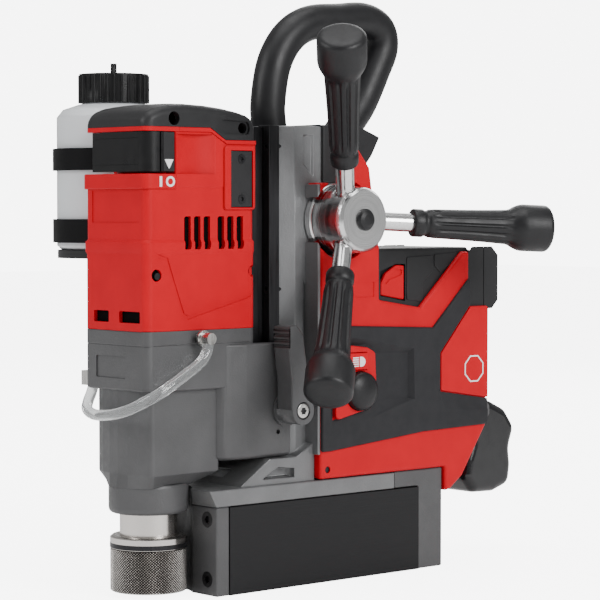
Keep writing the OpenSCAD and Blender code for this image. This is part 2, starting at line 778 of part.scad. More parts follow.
module switch_ring() {
    x1 = motor_hw - 0.2;
    color(black) {
        translate([0, 0, ring_z0]) linear_extrude(shell_top - ring_z0 - gap) difference() {
            intersection() {
                round_rect(-60, x1, -motor_front + 0.2, -60, 9);
                polygon([[-22.5, -150], [x1 + 1, -150], [x1 + 1, ring_y], [-22.5, ring_y]]);
            }
            round_rect(-60, x1 - 4.4, -motor_front + 4.6, -60, 6);
        }
        translate([0, 0, 268]) linear_extrude(8) difference() {
            intersection() {
                round_rect(-60, x1 - 4.3, -motor_front + 4.5, -60, 6);
                polygon([[0, motor_y], [-26, motor_y - 33], [40, motor_y - 33], [40, motor_y - 22]]);
            }
            translate([0, motor_y]) circle(core_r + run, $fn = 96);
        }
    }
}

module lock_lever() {
    y = lock_axis[0];
    z = lock_axis[1];
    color(casting) difference() {
        union() {
            rod_x(34.8, lock_x1, y, z, 8.8);
            rod_x(34.8, 36.6, y, z, 10.6);
            side_prism([[y - 8.7, z], [y - 9.4, z + 20], [y - 11.6, z + 39], [y - 11.6, z + 52.6], [y - 5, z + 54],
                [y + 0.5, z + 48], [y + 5.4, z + 15], [y + 8, z + 3]], 37, lock_x1);
        }
        rod_x(34, 54, y, z, 3 + run);
        rod_x(lock_x1 - 4, 54, y, z, 5.6);
        for (k = [0:3]) slab(36, 53, y - 12.6, y - 10.8, z + 40 + k * 3.4, z + 41.2 + k * 3.4);
    }
}

// ---- coolant system ----

module bottle_holder() {
    color(black) {
        for (z = [216, 262]) ring_z(z, z + (z == 216 ? 15 : 14), bottle[0], bottle[1], bottle_r + 0.1, bottle_r + 2.6);
        slab(-35.2, -motor_hw, bottle[1] - 20, bottle[1] + 7, 212, 280);
    }
}

module coolant_bottle() {
    r = bottle_r;
    color([0.93, 0.94, 0.95]) translate([bottle[0], bottle[1], 0]) rotate_extrude($fn = 72) polygon([[8, 211.2],
        [r - 3, 211.2], [r, 214], [r, 296], [r - 4, 301], [r - 14, 304.4], [19, 305], [19, 316], [17, 316],
        [17, 303], [r - 15, 302.2], [r - 5.5, 299], [r - 2, 295], [r - 2, 215], [r - 4, 213.2], [8, 213.2]]);
}

module bottle_valve() {
    color(black) difference() {
        union() {
            rod_z(206, 211.2, bottle[0], bottle[1], bottle_r - 0.4);
            rod_z(211.2, 214, bottle[0], bottle[1], 7.9);
            rod_z(190, 207, valve[0], valve[1], 6);
            rod_z(184, 190, valve[0], valve[1], 3.2);
        }
        rod_z(205, 215, bottle[0], bottle[1], 2);
        rod_y(valve[1] - 1, valve[1] + 10, valve[0], 198, 2.5 + run);
    }
}

module valve_tap() {
    color(brass) {
        rod_y(valve[1] - 0.6, valve[1] + 9, valve[0], 198, 2.5);
        slab(valve[0] - 7, valve[0] + 7, valve[1] + 8.9, valve[1] + 11.4, 195.8, 200.2);
    }
}

module bottle_cap() {
    color(black) translate([bottle[0], bottle[1], 0]) {
        difference() {
            union() {
                rod_z(305.4, 324, 0, 0, 22.2);
                for (a = [0:12:348]) rotate(a) rod_z(305.4, 323, 22, 0, 1);
            }
            rod_z(305, 321, 0, 0, 19 + run);
        }
        rod_z(324, 331, 0, 0, 2);
    }
}

module hose_fittings() {
    color(silver) {
        rod_x(26.4, 36, -104, 158.8, 2.95);
        rod_x(36, 37.2, -104, 158.8, 5);
        difference() {
            rod_x(37.2, 44.4, -104, 158.8, 3.6);
            rod_z(150, 155.4, 40.8, -104, 3);
        }
    }
    color(black) difference() {
        round_block(-42.6, -motor_hw, -139, -127, 128, 137, 2);
        rod_z(120, 140, -37, -133, hose_r);
    }
}

hose_route = [[40.8, -104, 155.2], [41, -105, 151], [41.5, -110, 145], [43, -122, 138.5], [44, -133, 133],
    [43, -143, 127.5], [36, -150, 122], [25, -153, 117], [10, -154, 113.5], [-6, -152, 112], [-18, -149, 112.5],
    [-28, -144.5, 114.5], [-34, -139, 118.5], [-37, -134.5, 123], [-37, -133, 128], [-37, -133, 137],
    [-37, -130, 150], [-37, -120, 163], [-39, -102, 172], [-46, -82, 176], [-52, -74, 180], [-52, -74, 184]];

module coolant_hose() {
    color([0.85, 0.87, 0.88]) sweep(smooth(hose_route, 3), hose_r, hose_r, 8, [0.5, 0.8, -0.33]);
}

// ---- feed handles ----

module pinion_shaft() {
    color(steel) {
        rod_x(-32.6, rack_x0 - 0.3, feed_y, feed_z, 7.5);
        rod_x(rack_x1 + 0.3, 50, feed_y, feed_z, 7.5);
        translate([rack_x0 - 0.3, feed_y, feed_z]) rotate([90, 0, 90])
            gear(rack_m, pinion_z, rack_x1 - rack_x0 + 0.6, 180);
    }
}

module spoke_place(k) {
    translate([spoke_x, feed_y, feed_z]) rotate([spoke_turn + 120 * k, 0, 0]) rotate([0, spoke_lean, 0]) children();
}

module feed_hub() {
    color(silver) difference() {
        translate([hub_x0, feed_y, feed_z]) rotate([0, 90, 0]) rotate_extrude($fn = 96) polygon([[7.5 + run, 0],
            [23, 0], [23, 4.2], [21.8, 5], [21.8, 8], [22.4, 9], [20.4, 29], [18.4, 31.3], [0, 31.3],
            [0, 18.4], [7.5 + run, 18.4]]);
        for (k = [0:2]) spoke_place(k) translate([0, 0, 12]) cylinder(h = 40, r = 6);
    }
}

module hub_cap() {
    color(black) translate([hub_x1, feed_y, feed_z]) rotate([0, 90, 0]) rotate_extrude()
        polygon([[0, 0], [6.95, 0], [6.95, 1.2], [5.8, 2.6], [3.4, 3.5], [0, 3.8]]);
}

module feed_rods() {
    color(steel) for (k = [0:2]) spoke_place(k) translate([0, 0, 12]) cylinder(h = spoke_l - 24, r = 6 - run);
}

module feed_grips() {
    l = spoke_l;
    color(black) for (k = [0:2]) spoke_place(k) rotate_extrude() polygon([[6, 44], [8.4, 44], [9, 45], [9, 51],
        [8.2, 52], [8.2, 54], [9, 55], [9, 57], [9.4, 60], [11.2, l - 28], [14.2, l - 22], [15.25, l - 19],
        [15.25, l - 3], [13.5, l - 0.8], [10, l], [0, l], [0, l - 11.8], [6, l - 11.8]]);
}

magnet_housing();
pole_bars();
side_plates();
fixed_magnets();
shifting_magnets();
shift_bar();
magnet_lever();
lever_bracket();
lever_pins();
column();
guide_rails();
pinion_bushes();
stand_screws();
carry_handle();
tower_cap();
housing_left();
housing_right();
side_overmoulds();
stop_panels();
lamp_panel();
control_board();
terminal_block();
work_light();
motor_button();
lamp_button();
battery_case();
battery_latch(-1);  // battery_latch_left
battery_latch(1);  // battery_latch_right
gearcase();
gearcase_cover();
slide_plate();
rack();
motor_housing_left();
motor_housing_right();
top_cap();
motor_side_plate();
carriage_screws();
stator();
shaft_bearings();
bottle_holder();
coolant_bottle();
bottle_valve();
valve_tap();
bottle_cap();
hose_fittings();
coolant_hose();
switch_ring();
lock_lever();
rotor_shaft();
rotor_core();
cooling_fan();
intermediate_gear();
spindle();
chuck_body();
chuck_sleeve();
pinion_shaft();
feed_hub();
hub_cap();
feed_rods();
feed_grips();
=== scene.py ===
"""Looks of the portable magnetic drill press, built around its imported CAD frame. Metres, +Z up."""
import json
import math

import bmesh
import bpy
from mathutils import Matrix, Vector


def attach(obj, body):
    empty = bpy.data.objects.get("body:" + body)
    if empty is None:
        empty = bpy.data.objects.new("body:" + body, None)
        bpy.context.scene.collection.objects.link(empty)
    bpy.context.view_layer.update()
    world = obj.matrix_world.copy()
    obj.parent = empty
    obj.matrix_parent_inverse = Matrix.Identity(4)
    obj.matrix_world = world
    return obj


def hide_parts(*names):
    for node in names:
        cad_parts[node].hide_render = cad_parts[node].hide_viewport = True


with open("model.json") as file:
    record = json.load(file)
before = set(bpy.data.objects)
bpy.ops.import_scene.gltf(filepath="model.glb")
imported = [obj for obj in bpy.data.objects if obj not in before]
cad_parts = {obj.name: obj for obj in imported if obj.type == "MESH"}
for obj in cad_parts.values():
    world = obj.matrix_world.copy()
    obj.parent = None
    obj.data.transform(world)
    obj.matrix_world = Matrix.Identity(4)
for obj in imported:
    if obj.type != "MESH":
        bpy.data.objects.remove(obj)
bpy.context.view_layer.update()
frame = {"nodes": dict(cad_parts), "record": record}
MM = 0.001

# ---- places shared with the CAD, in millimetres ----

MOTOR_HW = 31.5
MOTOR_FRONT = -144.0
SPINDLE_Y = -118.4
MOTOR_Y = -112.05
FEED = (5.5, 230.65)
SPOKE_X = 45.2
SPOKE_TURN = 27.15
SPOKE_LEAN = 24.9
CHUCK_R = 23.8
KNURL_DEPTH = 0.85
BUTTON = (17.8, 121.0)
LAMP = (15.4, 140.0)
HOUSING_FACE = 43.0
OVERMOULD_FACE = 44.6


# ---- camera ----

def make_camera():
    data = bpy.data.cameras.new("photo_camera")
    data.sensor_width = 36
    data.lens = 140.6
    camera = bpy.data.objects.new("photo_camera", data)
    bpy.context.collection.objects.link(camera)
    camera.location = (1.14166, -1.003245, 0.23912)
    camera.rotation_euler = (math.radians(90 - 2.288), 0, math.radians(48.507))
    bpy.context.scene.camera = camera


make_camera()


# ---- materials ----

class Shader:
    """A Principled material with its node tree and a few short ways to add texture."""

    def __init__(self, name, rough, metallic=0.0, **sockets):
        self.material = bpy.data.materials.new(name)
        self.material.use_nodes = True
        self.tree = self.material.node_tree
        self.body = self.tree.nodes["Principled BSDF"]
        self.body.inputs["Roughness"].default_value = rough
        self.body.inputs["Metallic"].default_value = metallic
        for key, value in sockets.items():
            self.body.inputs[key.replace("_", " ")].default_value = value
        self.place = self.node("ShaderNodeTexCoord").outputs["Object"]
        self.normal = None

    def node(self, kind, **values):
        node = self.tree.nodes.new(kind)
        for key, value in values.items():
            if key in node.inputs:
                node.inputs[key].default_value = value
            else:
                setattr(node, key, value)
        return node

    def link(self, a, b):
        self.tree.links.new(a, b)

    def noise(self, scale, stretch=(1, 1, 1), detail=3.0, place=None):
        mapping = self.node("ShaderNodeMapping", Scale=stretch)
        self.link(place or self.place, mapping.inputs["Vector"])
        noise = self.node("ShaderNodeTexNoise", Scale=scale, Detail=detail)
        self.link(mapping.outputs["Vector"], noise.inputs["Vector"])
        return noise.outputs["Fac"]

    def colour(self, low, high, factor):
        ramp = self.node("ShaderNodeValToRGB")
        ramp.color_ramp.elements[0].position = 0.3
        ramp.color_ramp.elements[1].position = 0.7
        ramp.color_ramp.elements[0].color = (*low, 1)
        ramp.color_ramp.elements[1].color = (*high, 1)
        self.link(factor, ramp.inputs["Fac"])
        self.link(ramp.outputs["Color"], self.body.inputs["Base Color"])

    def roughness(self, low, high, factor):
        span = self.node("ShaderNodeMapRange", **{"From Min": 0.3, "From Max": 0.7, "To Min": low, "To Max": high})
        self.link(factor, span.inputs["Value"])
        self.link(span.outputs["Result"], self.body.inputs["Roughness"])

    def bump(self, height, strength, distance):
        bump = self.node("ShaderNodeBump", Strength=strength, Distance=distance)
        self.link(height, bump.inputs["Height"])
        if self.normal:
            self.link(self.normal, bump.inputs["Normal"])
        self.normal = bump.outputs["Normal"]
        self.link(self.normal, self.body.inputs["Normal"])

    def distance(self, centre, across):
        """Distance from an axis through centre, across the two directions marked 1."""
        offset = self.node("ShaderNodeVectorMath", operation="SUBTRACT")
        self.link(self.place, offset.inputs[0])
        offset.inputs[1].default_value = centre
        flat = self.node("ShaderNodeVectorMath", operation="MULTIPLY")
        self.link(offset.outputs[0], flat.inputs[0])
        flat.inputs[1].default_value = across
        length = self.node("ShaderNodeVectorMath", operation="LENGTH")
        self.link(flat.outputs[0], length.inputs[0])
        return length.outputs["Value"]

    def rings_about(self, centre, across, scale):
        """Noise that depends only on the distance from an axis, as on a turned face."""
        noise = self.node("ShaderNodeTexNoise", noise_dimensions="1D", Scale=scale, Detail=2.0)
        self.link(self.distance(centre, across), noise.inputs["W"])
        return noise.outputs["Fac"]


def moulded(name, rgb, rough, grain=1500.0, depth=0.35, spread=0.12, specular=0.5):
    """Injection-moulded plastic or rubber with a fine eroded grain."""
    s = Shader(name, rough, Specular_IOR_Level=specular)
    low = tuple(c * (1 - spread) for c in rgb)
    high = tuple(min(1, c * (1 + spread)) for c in rgb)
    s.colour(low, high, s.noise(60, detail=4.0))
    s.roughness(rough - 0.05, rough + 0.07, s.noise(140))
    s.bump(s.noise(grain, detail=2.0), depth, 0.0002)
    return s.material


def cast_metal(name, rgb, rough, metallic, grain=900.0):
    """Powder-coated or blasted casting."""
    s = Shader(name, rough, metallic)
    s.colour(tuple(c * 0.88 for c in rgb), tuple(c * 1.1 for c in rgb), s.noise(45, detail=5.0))
    s.roughness(rough - 0.06, rough + 0.08, s.noise(220))
    s.bump(s.noise(grain, detail=3.0), 0.45, 0.0003)
    return s.material


def brushed(name, rgb, rough, stretch, metallic=1.0, strength=0.3):
    """Metal ground in one direction: the noise is long along the small stretch value."""
    s = Shader(name, rough, metallic, Specular_IOR_Level=0.3)
    lines = s.noise(1.0, stretch, detail=4.0)
    s.colour(tuple(c * 0.8 for c in rgb), tuple(min(1, c * 1.15) for c in rgb), lines)
    s.roughness(rough - 0.07, rough + 0.1, lines)
    s.bump(lines, strength, 0.0001)
    return s.material


def turned(name, rgb, rough, centre, across):
    """Lathe-turned metal with fine concentric lines."""
    s = Shader(name, rough, 1.0)
    rings = s.rings_about(centre, across, 2600.0)
    s.colour(tuple(c * 0.86 for c in rgb), tuple(min(1, c * 1.1) for c in rgb), rings)
    s.roughness(rough - 0.06, rough + 0.08, rings)
    s.bump(rings, 0.25, 0.0001)
    return s.material


def knurl_painted_shade(name, rgb, rough, centre, across, radii):
    """Plated metal with painted shade: its knurl valleys are coloured darker than its peaks, told apart by their
    radius.
    """
    s = Shader(name, rough, 1.0)
    depth = s.node("ShaderNodeMapRange", **{"From Min": radii[0], "From Max": radii[1]})
    s.link(s.distance(centre, across), depth.inputs["Value"])
    s.colour(tuple(c * 0.22 for c in rgb), rgb, depth.outputs["Result"])
    s.bump(s.noise(900), 0.1, 0.0001)
    return s.material


def clear_plastic(name, rgb, rough, transmission, ior=1.46):
    s = Shader(name, rough, Transmission_Weight=transmission, IOR=ior)
    s.colour(rgb, tuple(min(1, c * 1.04) for c in rgb), s.noise(40))
    s.bump(s.noise(300), 0.05, 0.0002)
    return s.material


def printed(name, rgb):
    s = Shader(name, 0.45)
    s.colour(tuple(c * 0.96 for c in rgb), rgb, s.noise(300))
    return s.material


RED = (0.50, 0.002, 0.010)
M = {
    "red": moulded("red_moulded", RED, 0.42, depth=0.22, spread=0.05, specular=0.12),
    "overmould": moulded("soft_overmould", (0.013, 0.013, 0.015), 0.62, grain=2200, depth=0.5, specular=0.3),
    "dark_shell": moulded("dark_moulded", (0.011, 0.011, 0.012), 0.46, specular=0.35),
    "black_plastic": moulded("black_moulded", (0.004, 0.004, 0.0045), 0.32, specular=0.3),
    "gloss_black": moulded("gloss_black", (0.004, 0.004, 0.005), 0.16, grain=500, depth=0.05),
    "rubber": moulded("black_rubber", (0.006, 0.006, 0.007), 0.42, grain=1800, depth=0.4, specular=0.35),
    "casting": cast_metal("grey_casting", (0.072, 0.072, 0.074), 0.44, 0.2),
    "column": cast_metal("silver_column", (0.165, 0.167, 0.17), 0.38, 0.5),
    "strap": moulded("strap_black", (0.003, 0.003, 0.0035), 0.5, specular=0.12),
    "turned_hub": turned("turned_aluminium", (0.74, 0.74, 0.74), 0.2, (0, FEED[0] * MM, FEED[1] * MM), (0, 1, 1)),
    "nickel": turned("nickel_plate", (0.62, 0.59, 0.56), 0.22, (0, SPINDLE_Y * MM, 0), (1, 1, 0)),
    # Knurl valleys coloured darker than peaks: painted shade in the grooves.
    "knurl": knurl_painted_shade("knurled_nickel", (0.66, 0.63, 0.60), 0.26, (0, SPINDLE_Y * MM, 0), (1, 1, 0),
                     ((CHUCK_R - KNURL_DEPTH) * MM, CHUCK_R * MM)),
    "steel": brushed("ground_steel", (0.58, 0.57, 0.55), 0.28, (900, 900, 60)),
    "rods": brushed("polished_rods", (0.72, 0.72, 0.72), 0.16, (1500, 1500, 1500), strength=0.06),
    "oxide": brushed("black_oxide", (0.030, 0.030, 0.032), 0.34, (1200, 1200, 40), metallic=0.8),
    "side_plate": brushed("side_plate", (0.004, 0.004, 0.005), 0.42, (900, 14, 1400), metallic=0.0, strength=0.9),
    "bronze": cast_metal("bronze", (0.50, 0.33, 0.13), 0.3, 1.0),
    "copper": brushed("copper_winding", (0.55, 0.25, 0.10), 0.3, (300, 300, 2200)),
    "board": moulded("circuit_board", (0.02, 0.13, 0.06), 0.4),
    "bottle": clear_plastic("bottle_plastic", (0.86, 0.88, 0.90), 0.32, 0.35),
    "hose": clear_plastic("hose_plastic", (0.93, 0.95, 0.95), 0.08, 0.92),
    "lens": clear_plastic("lens", (0.92, 0.93, 0.95), 0.2, 0.6),
    "white_mark": printed("white_mark", (0.86, 0.86, 0.86)),
    "screw": cast_metal("screw_black", (0.03, 0.03, 0.032), 0.32, 0.8),
    "magnet": cast_metal("magnet_plating", (0.40, 0.40, 0.41), 0.3, 1.0),
    # Near-black used as painted shade inside hollows.
    "painted_shade_black": moulded("painted_shade_black", (0.002, 0.002, 0.002), 0.8, specular=0.05),
}

SLOT_MATERIAL = {
    "red_shell": "red", "dark_overmould": "overmould", "dark_shell": "dark_shell", "black_plastic": "black_plastic",
    "black_rubber": "rubber", "casting_grey": "casting", "column_silver": "column",
    "turned_aluminium": "turned_hub", "bright_steel": "steel", "nickel_steel": "nickel", "black_steel": "oxide",
    "magnet_metal": "magnet", "bronze": "bronze", "copper_winding": "copper", "board_green": "board",
    "clear_hose": "hose", "bottle_white": "bottle", "lens": "lens",
}
NODE_SLOT = {s["node"]: s["material_slot"] for s in frame["record"]["subparts"]}
NODE_BODY = {n: b for b, nodes in frame["record"]["behaviour"]["bodies"].items() for n in nodes}
NODE_MATERIAL = {
    "side_plates": "side_plate", "magnet_lever": "gloss_black", "stand_screws": "screw", "carriage_screws": "screw",
    "feed_rods": "rods", "cooling_fan": "black_plastic", "bottle_holder": "strap",
}


def material_of(node):
    return M[NODE_MATERIAL.get(node, SLOT_MATERIAL[NODE_SLOT[node]])]


def dress_nodes():
    """Every carried-over CAD node takes its procedural material."""
    for name, obj in frame["nodes"].items():
        for i in range(max(1, len(obj.material_slots))):
            if obj.material_slots:
                obj.material_slots[i].material = material_of(name)
            else:
                obj.data.materials.append(material_of(name))


dress_nodes()


# ---- mesh helpers, all in millimetres ----

CREASE = 32
LONG_EDGE = 7.0
LONG_EDGE_ANGLE = 28


def piece(name, mesh, body, material, replaces=()):
    """A finished mesh becomes a piece that rides on a body."""
    obj = bpy.data.objects.new(name, mesh)
    bpy.context.collection.objects.link(obj)
    mesh.materials.clear()
    mesh.materials.append(material)
    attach(obj, body)
    if replaces:
        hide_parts(*replaces)
    return obj


def mesh_from(name, verts, faces, smooth=False):
    mesh = bpy.data.meshes.new(name)
    mesh.from_pydata([Vector(v) * MM for v in verts], [], faces)
    bm = bmesh.new()
    bm.from_mesh(mesh)
    bmesh.ops.recalc_face_normals(bm, faces=bm.faces)
    bm.to_mesh(mesh)
    bm.free()
    for p in mesh.polygons:
        p.use_smooth = smooth
    return mesh


# An outline's (a, b) and a height t along each axis.
PLACE = {"x": lambda a, b, t: (t, a, b), "y": lambda a, b, t: (a, t, b), "z": lambda a, b, t: (a, b, t)}


def prism(points, low, high, axis="x"):
    """Verts and faces of an outline extruded along an axis; points are (y, z), (x, z) or (x, y)."""
    place = PLACE[axis]
    n = len(points)
    verts = [place(a, b, low) for a, b in points] + [place(a, b, high) for a, b in points]
    faces = [tuple(range(n - 1, -1, -1)), tuple(range(n, 2 * n))]
    faces += [(i, (i + 1) % n, n + (i + 1) % n, n + i) for i in range(n)]
    return verts, faces


def revolve(profile, sides, place, radius_at=None):
    """Verts and faces of a closed (radius, height) profile turned about an axis; place maps (x, y, z)."""
    verts, faces = [], []
    n = len(profile)
    for k in range(sides):
        a = 2 * math.pi * k / sides
        for j, (r, h) in enumerate(profile):
            r = radius_at(k, j, r, h) if radius_at else r
            verts.append(place(r * math.cos(a), r * math.sin(a), h))
    for k in range(sides):
        m = (k + 1) % sides
        faces += [(k * n + j, k * n + (j + 1) % n, m * n + (j + 1) % n, m * n + j) for j in range(n)]
    return verts, faces


def filleted(points, radius, steps=5):
    """The outline with each corner turned into an arc; a point may carry its own radius as a third value."""
    out = []
    n = len(points)
    for i in range(n):
        p = Vector(points[i][:2])
        r = points[i][2] if len(points[i]) > 2 else radius
        a, b = Vector(points[i - 1][:2]) - p, Vector(points[(i + 1) % n][:2]) - p
        la, lb = a.length, b.length
        a, b = a / la, b / lb
        half = math.acos(max(-1, min(1, a.dot(b)))) / 2
        half = min(half, math.radians(89.8))
        tangent = min(r / math.tan(half), la * 0.48, lb * 0.48)
        r = tangent * math.tan(half)
        centre = p + (a + b).normalized() * (r / math.sin(half))
        start, end = p + a * tangent - centre, p + b * tangent - centre
        sweep_angle = start.angle_signed(end)
        for k in range(steps + 1):
            t = -sweep_angle * k / steps
            out.append((centre.x + start.x * math.cos(t) - start.y * math.sin(t),
                        centre.y + start.x * math.sin(t) + start.y * math.cos(t)))
    return out


def inset(loop, d):
    """The loop moved inwards by d, with mitred corners. The loop runs counter-clockwise."""
    out = []
    n = len(loop)
    for i in range(n):
        p, q, r = Vector(loop[i - 1]), Vector(loop[i]), Vector(loop[(i + 1) % n])
        a, b = (q - p).normalized(), (r - q).normalized()
        na, nb = Vector((-a.y, a.x)), Vector((-b.y, b.x))
        m = na + nb
        out.append(tuple(q + m * (d / max(0.3, m.dot(na)))))
    return out


def ccw(points):
    area = sum(a[0] * b[1] - b[0] * a[1] for a, b in zip(points, points[1:] + points[:1]))
    return points if area > 0 else points[::-1]


def loft(loops, axis):
    """Verts and faces through loops of equal length, each (height, [(a, b), ...]), closed at both ends."""
    place = PLACE[axis]
    n = len(loops[0][1])
    verts = [place(a, b, t) for t, loop in loops for a, b in loop]
    faces = [tuple(range(n - 1, -1, -1)), tuple(range((len(loops) - 1) * n, len(loops) * n))]
    for i in range(len(loops) - 1):
        faces += [(i * n + k, i * n + (k + 1) % n, (i + 1) * n + (k + 1) % n, (i + 1) * n + k) for k in range(n)]
    return verts, faces


def shrunk(points, d, corner):
    """The outline moved inwards by d, its corner arcs shrinking (or growing, when hollow) to match."""
    out = []
    for (a, b), p, before, after in zip(inset([q[:2] for q in points], d), points,
                                        points[-1:] + points[:-1], points[1:] + points[:1]):
        turn = (p[0] - before[0]) * (after[1] - p[1]) - (p[1] - before[1]) * (after[0] - p[0])
        r = p[2] if len(p) > 2 else corner
        out.append((a, b, max(0.03, r - d if turn > 0 else r + d)))
    return filleted(out, corner)


def soft_prism(points, low, high, axis="x", edge=(1.0, 1.0), corner=2.0, steps=4):
    """An extruded outline whose end rims are rounded by edge = (radius at low, radius at high)."""
    points = ccw(list(points))
    loops = []
    for k in range(steps + 1):
        t = math.pi / 2 * k / steps
        loops.append((low + edge[0] * (1 - math.cos(t)), shrunk(points, edge[0] * (1 - math.sin(t)), corner)))
    for k in range(steps, -1, -1):
        t = math.pi / 2 * k / steps
        loops.append((high - edge[1] * (1 - math.cos(t)), shrunk(points, edge[1] * (1 - math.sin(t)), corner)))
    return loft([l for i, l in enumerate(loops) if i == 0 or l[0] > loops[i - 1][0] + 1e-6], axis)


def carve(obj, cuts=(), adds=(), common=()):
    """Booleans with (verts, faces) tools, applied at once; common comes last and halves the result."""
    for operation, tools in (("UNION", adds), ("DIFFERENCE", cuts), ("INTERSECT", common)):
        for verts, faces in tools:
            tool = cutter(verts, faces)
            mod = obj.modifiers.new("cut", "BOOLEAN")
            mod.operation = operation
            mod.solver = "EXACT"
            mod.object = tool
            apply_modifiers(obj)
            bpy.data.objects.remove(tool)


def shaded(obj, crease):
    """The object's mesh, smooth up to the crease angle; the object itself goes."""
    for p in obj.data.polygons:
        p.use_smooth = True
    obj.data.set_sharp_from_angle(angle=math.radians(crease))
    weigh = obj.modifiers.new("weighted", "WEIGHTED_NORMAL")
    weigh.keep_sharp = True
    mesh = apply_modifiers(obj)
    bpy.data.objects.remove(obj)
    return mesh


def build(name, base, node, body, material, cuts=(), adds=(), common=(), replaces=None, crease=CREASE):
    """A piece from one closed shape with unions and cuts."""
    obj = cutter(*base)
    carve(obj, cuts, adds, common)
    mesh = shaded(obj, crease)
    return piece(name, mesh, body, material, [node] if replaces is None else replaces)


def box(x0, x1, y0, y1, z0, z1):
    return prism([(y0, z0), (y1, z0), (y1, z1), (y0, z1)], x0, x1)


def rod(axis, centre, r, low, high, sides=40):
    return prism(outline_of((*centre, r, r), sides), low, high, axis)


def outline_of(shape, sides=32):
    """Points of a circle or ellipse: (centre a, centre b, radius a, radius b)."""
    a, b, ra, rb = shape
    return [(a + ra * math.cos(2 * math.pi * k / sides), b + rb * math.sin(2 * math.pi * k / sides))
            for k in range(sides)]


def cutter(verts, faces):
    mesh = mesh_from("cutter", verts, faces)
    obj = bpy.data.objects.new("cutter", mesh)
    bpy.context.collection.objects.link(obj)
    return obj


def node_bmesh(node):
    """A CAD node's triangles, welded and with flat faces joined, ready for bevels."""
    bm = bmesh.new()
    bm.from_mesh(frame["nodes"][node].data)
    bmesh.ops.remove_doubles(bm, verts=bm.verts, dist=0.02 * MM)
    bmesh.ops.dissolve_limit(bm, angle_limit=math.radians(0.1), verts=bm.verts, edges=bm.edges)
    return bm


def apply_modifiers(obj):
    depsgraph = bpy.context.evaluated_depsgraph_get()
    mesh = bpy.data.meshes.new_from_object(obj.evaluated_get(depsgraph))
    old = obj.data
    obj.modifiers.clear()
    obj.data = mesh
    bpy.data.meshes.remove(old)
    return mesh


def mark_long_edges(mesh):
    """Bevel weight 1 on sharp edges that are long enough to round over cleanly."""
    bm = bmesh.new()
    bm.from_mesh(mesh)
    layer = bm.edges.layers.float.new("bevel_weight_edge")
    angle = math.radians(LONG_EDGE_ANGLE)
    for e in bm.edges:
        if len(e.link_faces) == 2 and e.calc_length() > LONG_EDGE * MM and e.calc_face_angle() > angle:
            e[layer] = 1.0
    bm.to_mesh(mesh)
    bm.free()


def refined(node, bevel):
    """A CAD node copied with softly rounded edges."""
    bm = node_bmesh(node)
    mesh = bpy.data.meshes.new(node + "_skin")
    bm.to_mesh(mesh)
    bm.free()
    obj = bpy.data.objects.new(node + "_skin", mesh)
    bpy.context.collection.objects.link(obj)
    mark_long_edges(obj.data)
    mod = obj.modifiers.new("bevel", "BEVEL")
    mod.width = bevel * MM
    mod.segments = 3
    mod.limit_method = "WEIGHT"
    mod.use_clamp_overlap = False
    mod.miter_outer = "MITER_ARC"
    apply_modifiers(obj)
    mesh = shaded(obj, CREASE)
    return piece(node + "_skin", mesh, NODE_BODY[node], material_of(node), [node])


def catmull(points, steps):
    """A smooth curve through the points."""
    out = []
    last = len(points) - 1
    for i in range(last):
        a, b, c, d = (Vector(points[min(max(k, 0), last)]) for k in (i - 1, i, i + 1, i + 2))
        for s in range(steps):
            t = s / steps
            out.append(0.5 * (2 * b + (c - a) * t + (2 * a - 5 * b + 4 * c - d) * t * t
                              + (3 * b - a - 3 * c + d) * t ** 3))
    return out + [Vector(points[last])]


# ---- coolant hose ----

HOSE_ROUTE = [
    (40.8, -104, 155.2), (41, -105, 151), (41.5, -110, 145), (43, -122, 138.5), (44, -133, 133), (43, -143, 127.5),
    (36, -150, 122), (25, -153, 117), (10, -154, 113.5), (-6, -152, 112), (-18, -149, 112.5), (-28, -144.5, 114.5),
    (-34, -139, 118.5), (-37, -134.5, 123), (-37, -133, 128), (-37, -133, 137), (-37, -130, 150),
    (-37, -120, 163), (-39, -102, 172), (-46, -82, 176), (-52, -74, 180), (-52, -74, 184),
]
HOSE_R = 3.4


def sweep(path, radii, sides, ref):
    """A closed tube along path with an elliptical section; ref settles which way its first radius lies."""
    verts, faces = [], []
    last = len(path) - 1
    for i, p in enumerate(path):
        d = (path[min(i + 1, last)] - path[max(i - 1, 0)]).normalized()
        u = d.cross(Vector(ref)).normalized()
        v = d.cross(u)
        for k in range(sides):
            t = 2 * math.pi * k / sides
            verts.append(p + u * (radii[0] * math.cos(t)) + v * (radii[1] * math.sin(t)))
    for i in range(last):
        for k in range(sides):
            a, b = i * sides + k, i * sides + (k + 1) % sides
            faces.append((a, b, b + sides, a + sides))
    faces.append(tuple(range(sides - 1, -1, -1)))
    faces.append(tuple(last * sides + k for k in range(sides)))
    return verts, faces


def make_hose():
    path = catmull(HOSE_ROUTE, 6)
    verts, faces = sweep(path, (HOSE_R, HOSE_R), 20, (0.5, 0.8, -0.33))
    hose = piece("coolant_hose_tube", mesh_from("coolant_hose_tube", verts, faces, smooth=True), "carriage",
                 M["hose"], ["coolant_hose"])


make_hose()


# ---- motor unit ----

MOTOR_BACK = -57.6
MOTOR_Z0 = 163.6
LEDGE = 258.8
VENT_STARTS = [y0 + 7.6 * k for y0 in (-114.6, -88.4) for k in range(3)]


def ribbon(points, width, low, high, axis="x"):
    """A thin bar that follows an open polyline, one prism per stretch."""
    bars = []
    for (a0, b0), (a1, b1) in zip(points, points[1:]):
        da, db = a1 - a0, b1 - b0
        length = math.hypot(da, db)
        da, db = da / length * width / 2, db / length * width / 2
        bars.append(prism([(a0 - da - db, b0 - db + da), (a0 - da + db, b0 - db - da),
                           (a1 + da + db, b1 + db - da), (a1 + da - db, b1 + db + da)], low, high, axis))
    return bars


def motor_outline(grow=0.0):
    x, front, back = MOTOR_HW + grow, MOTOR_FRONT - grow, MOTOR_BACK + min(grow, 0)
    return [(-x, front), (x, front), (x, back), (-x, back)]


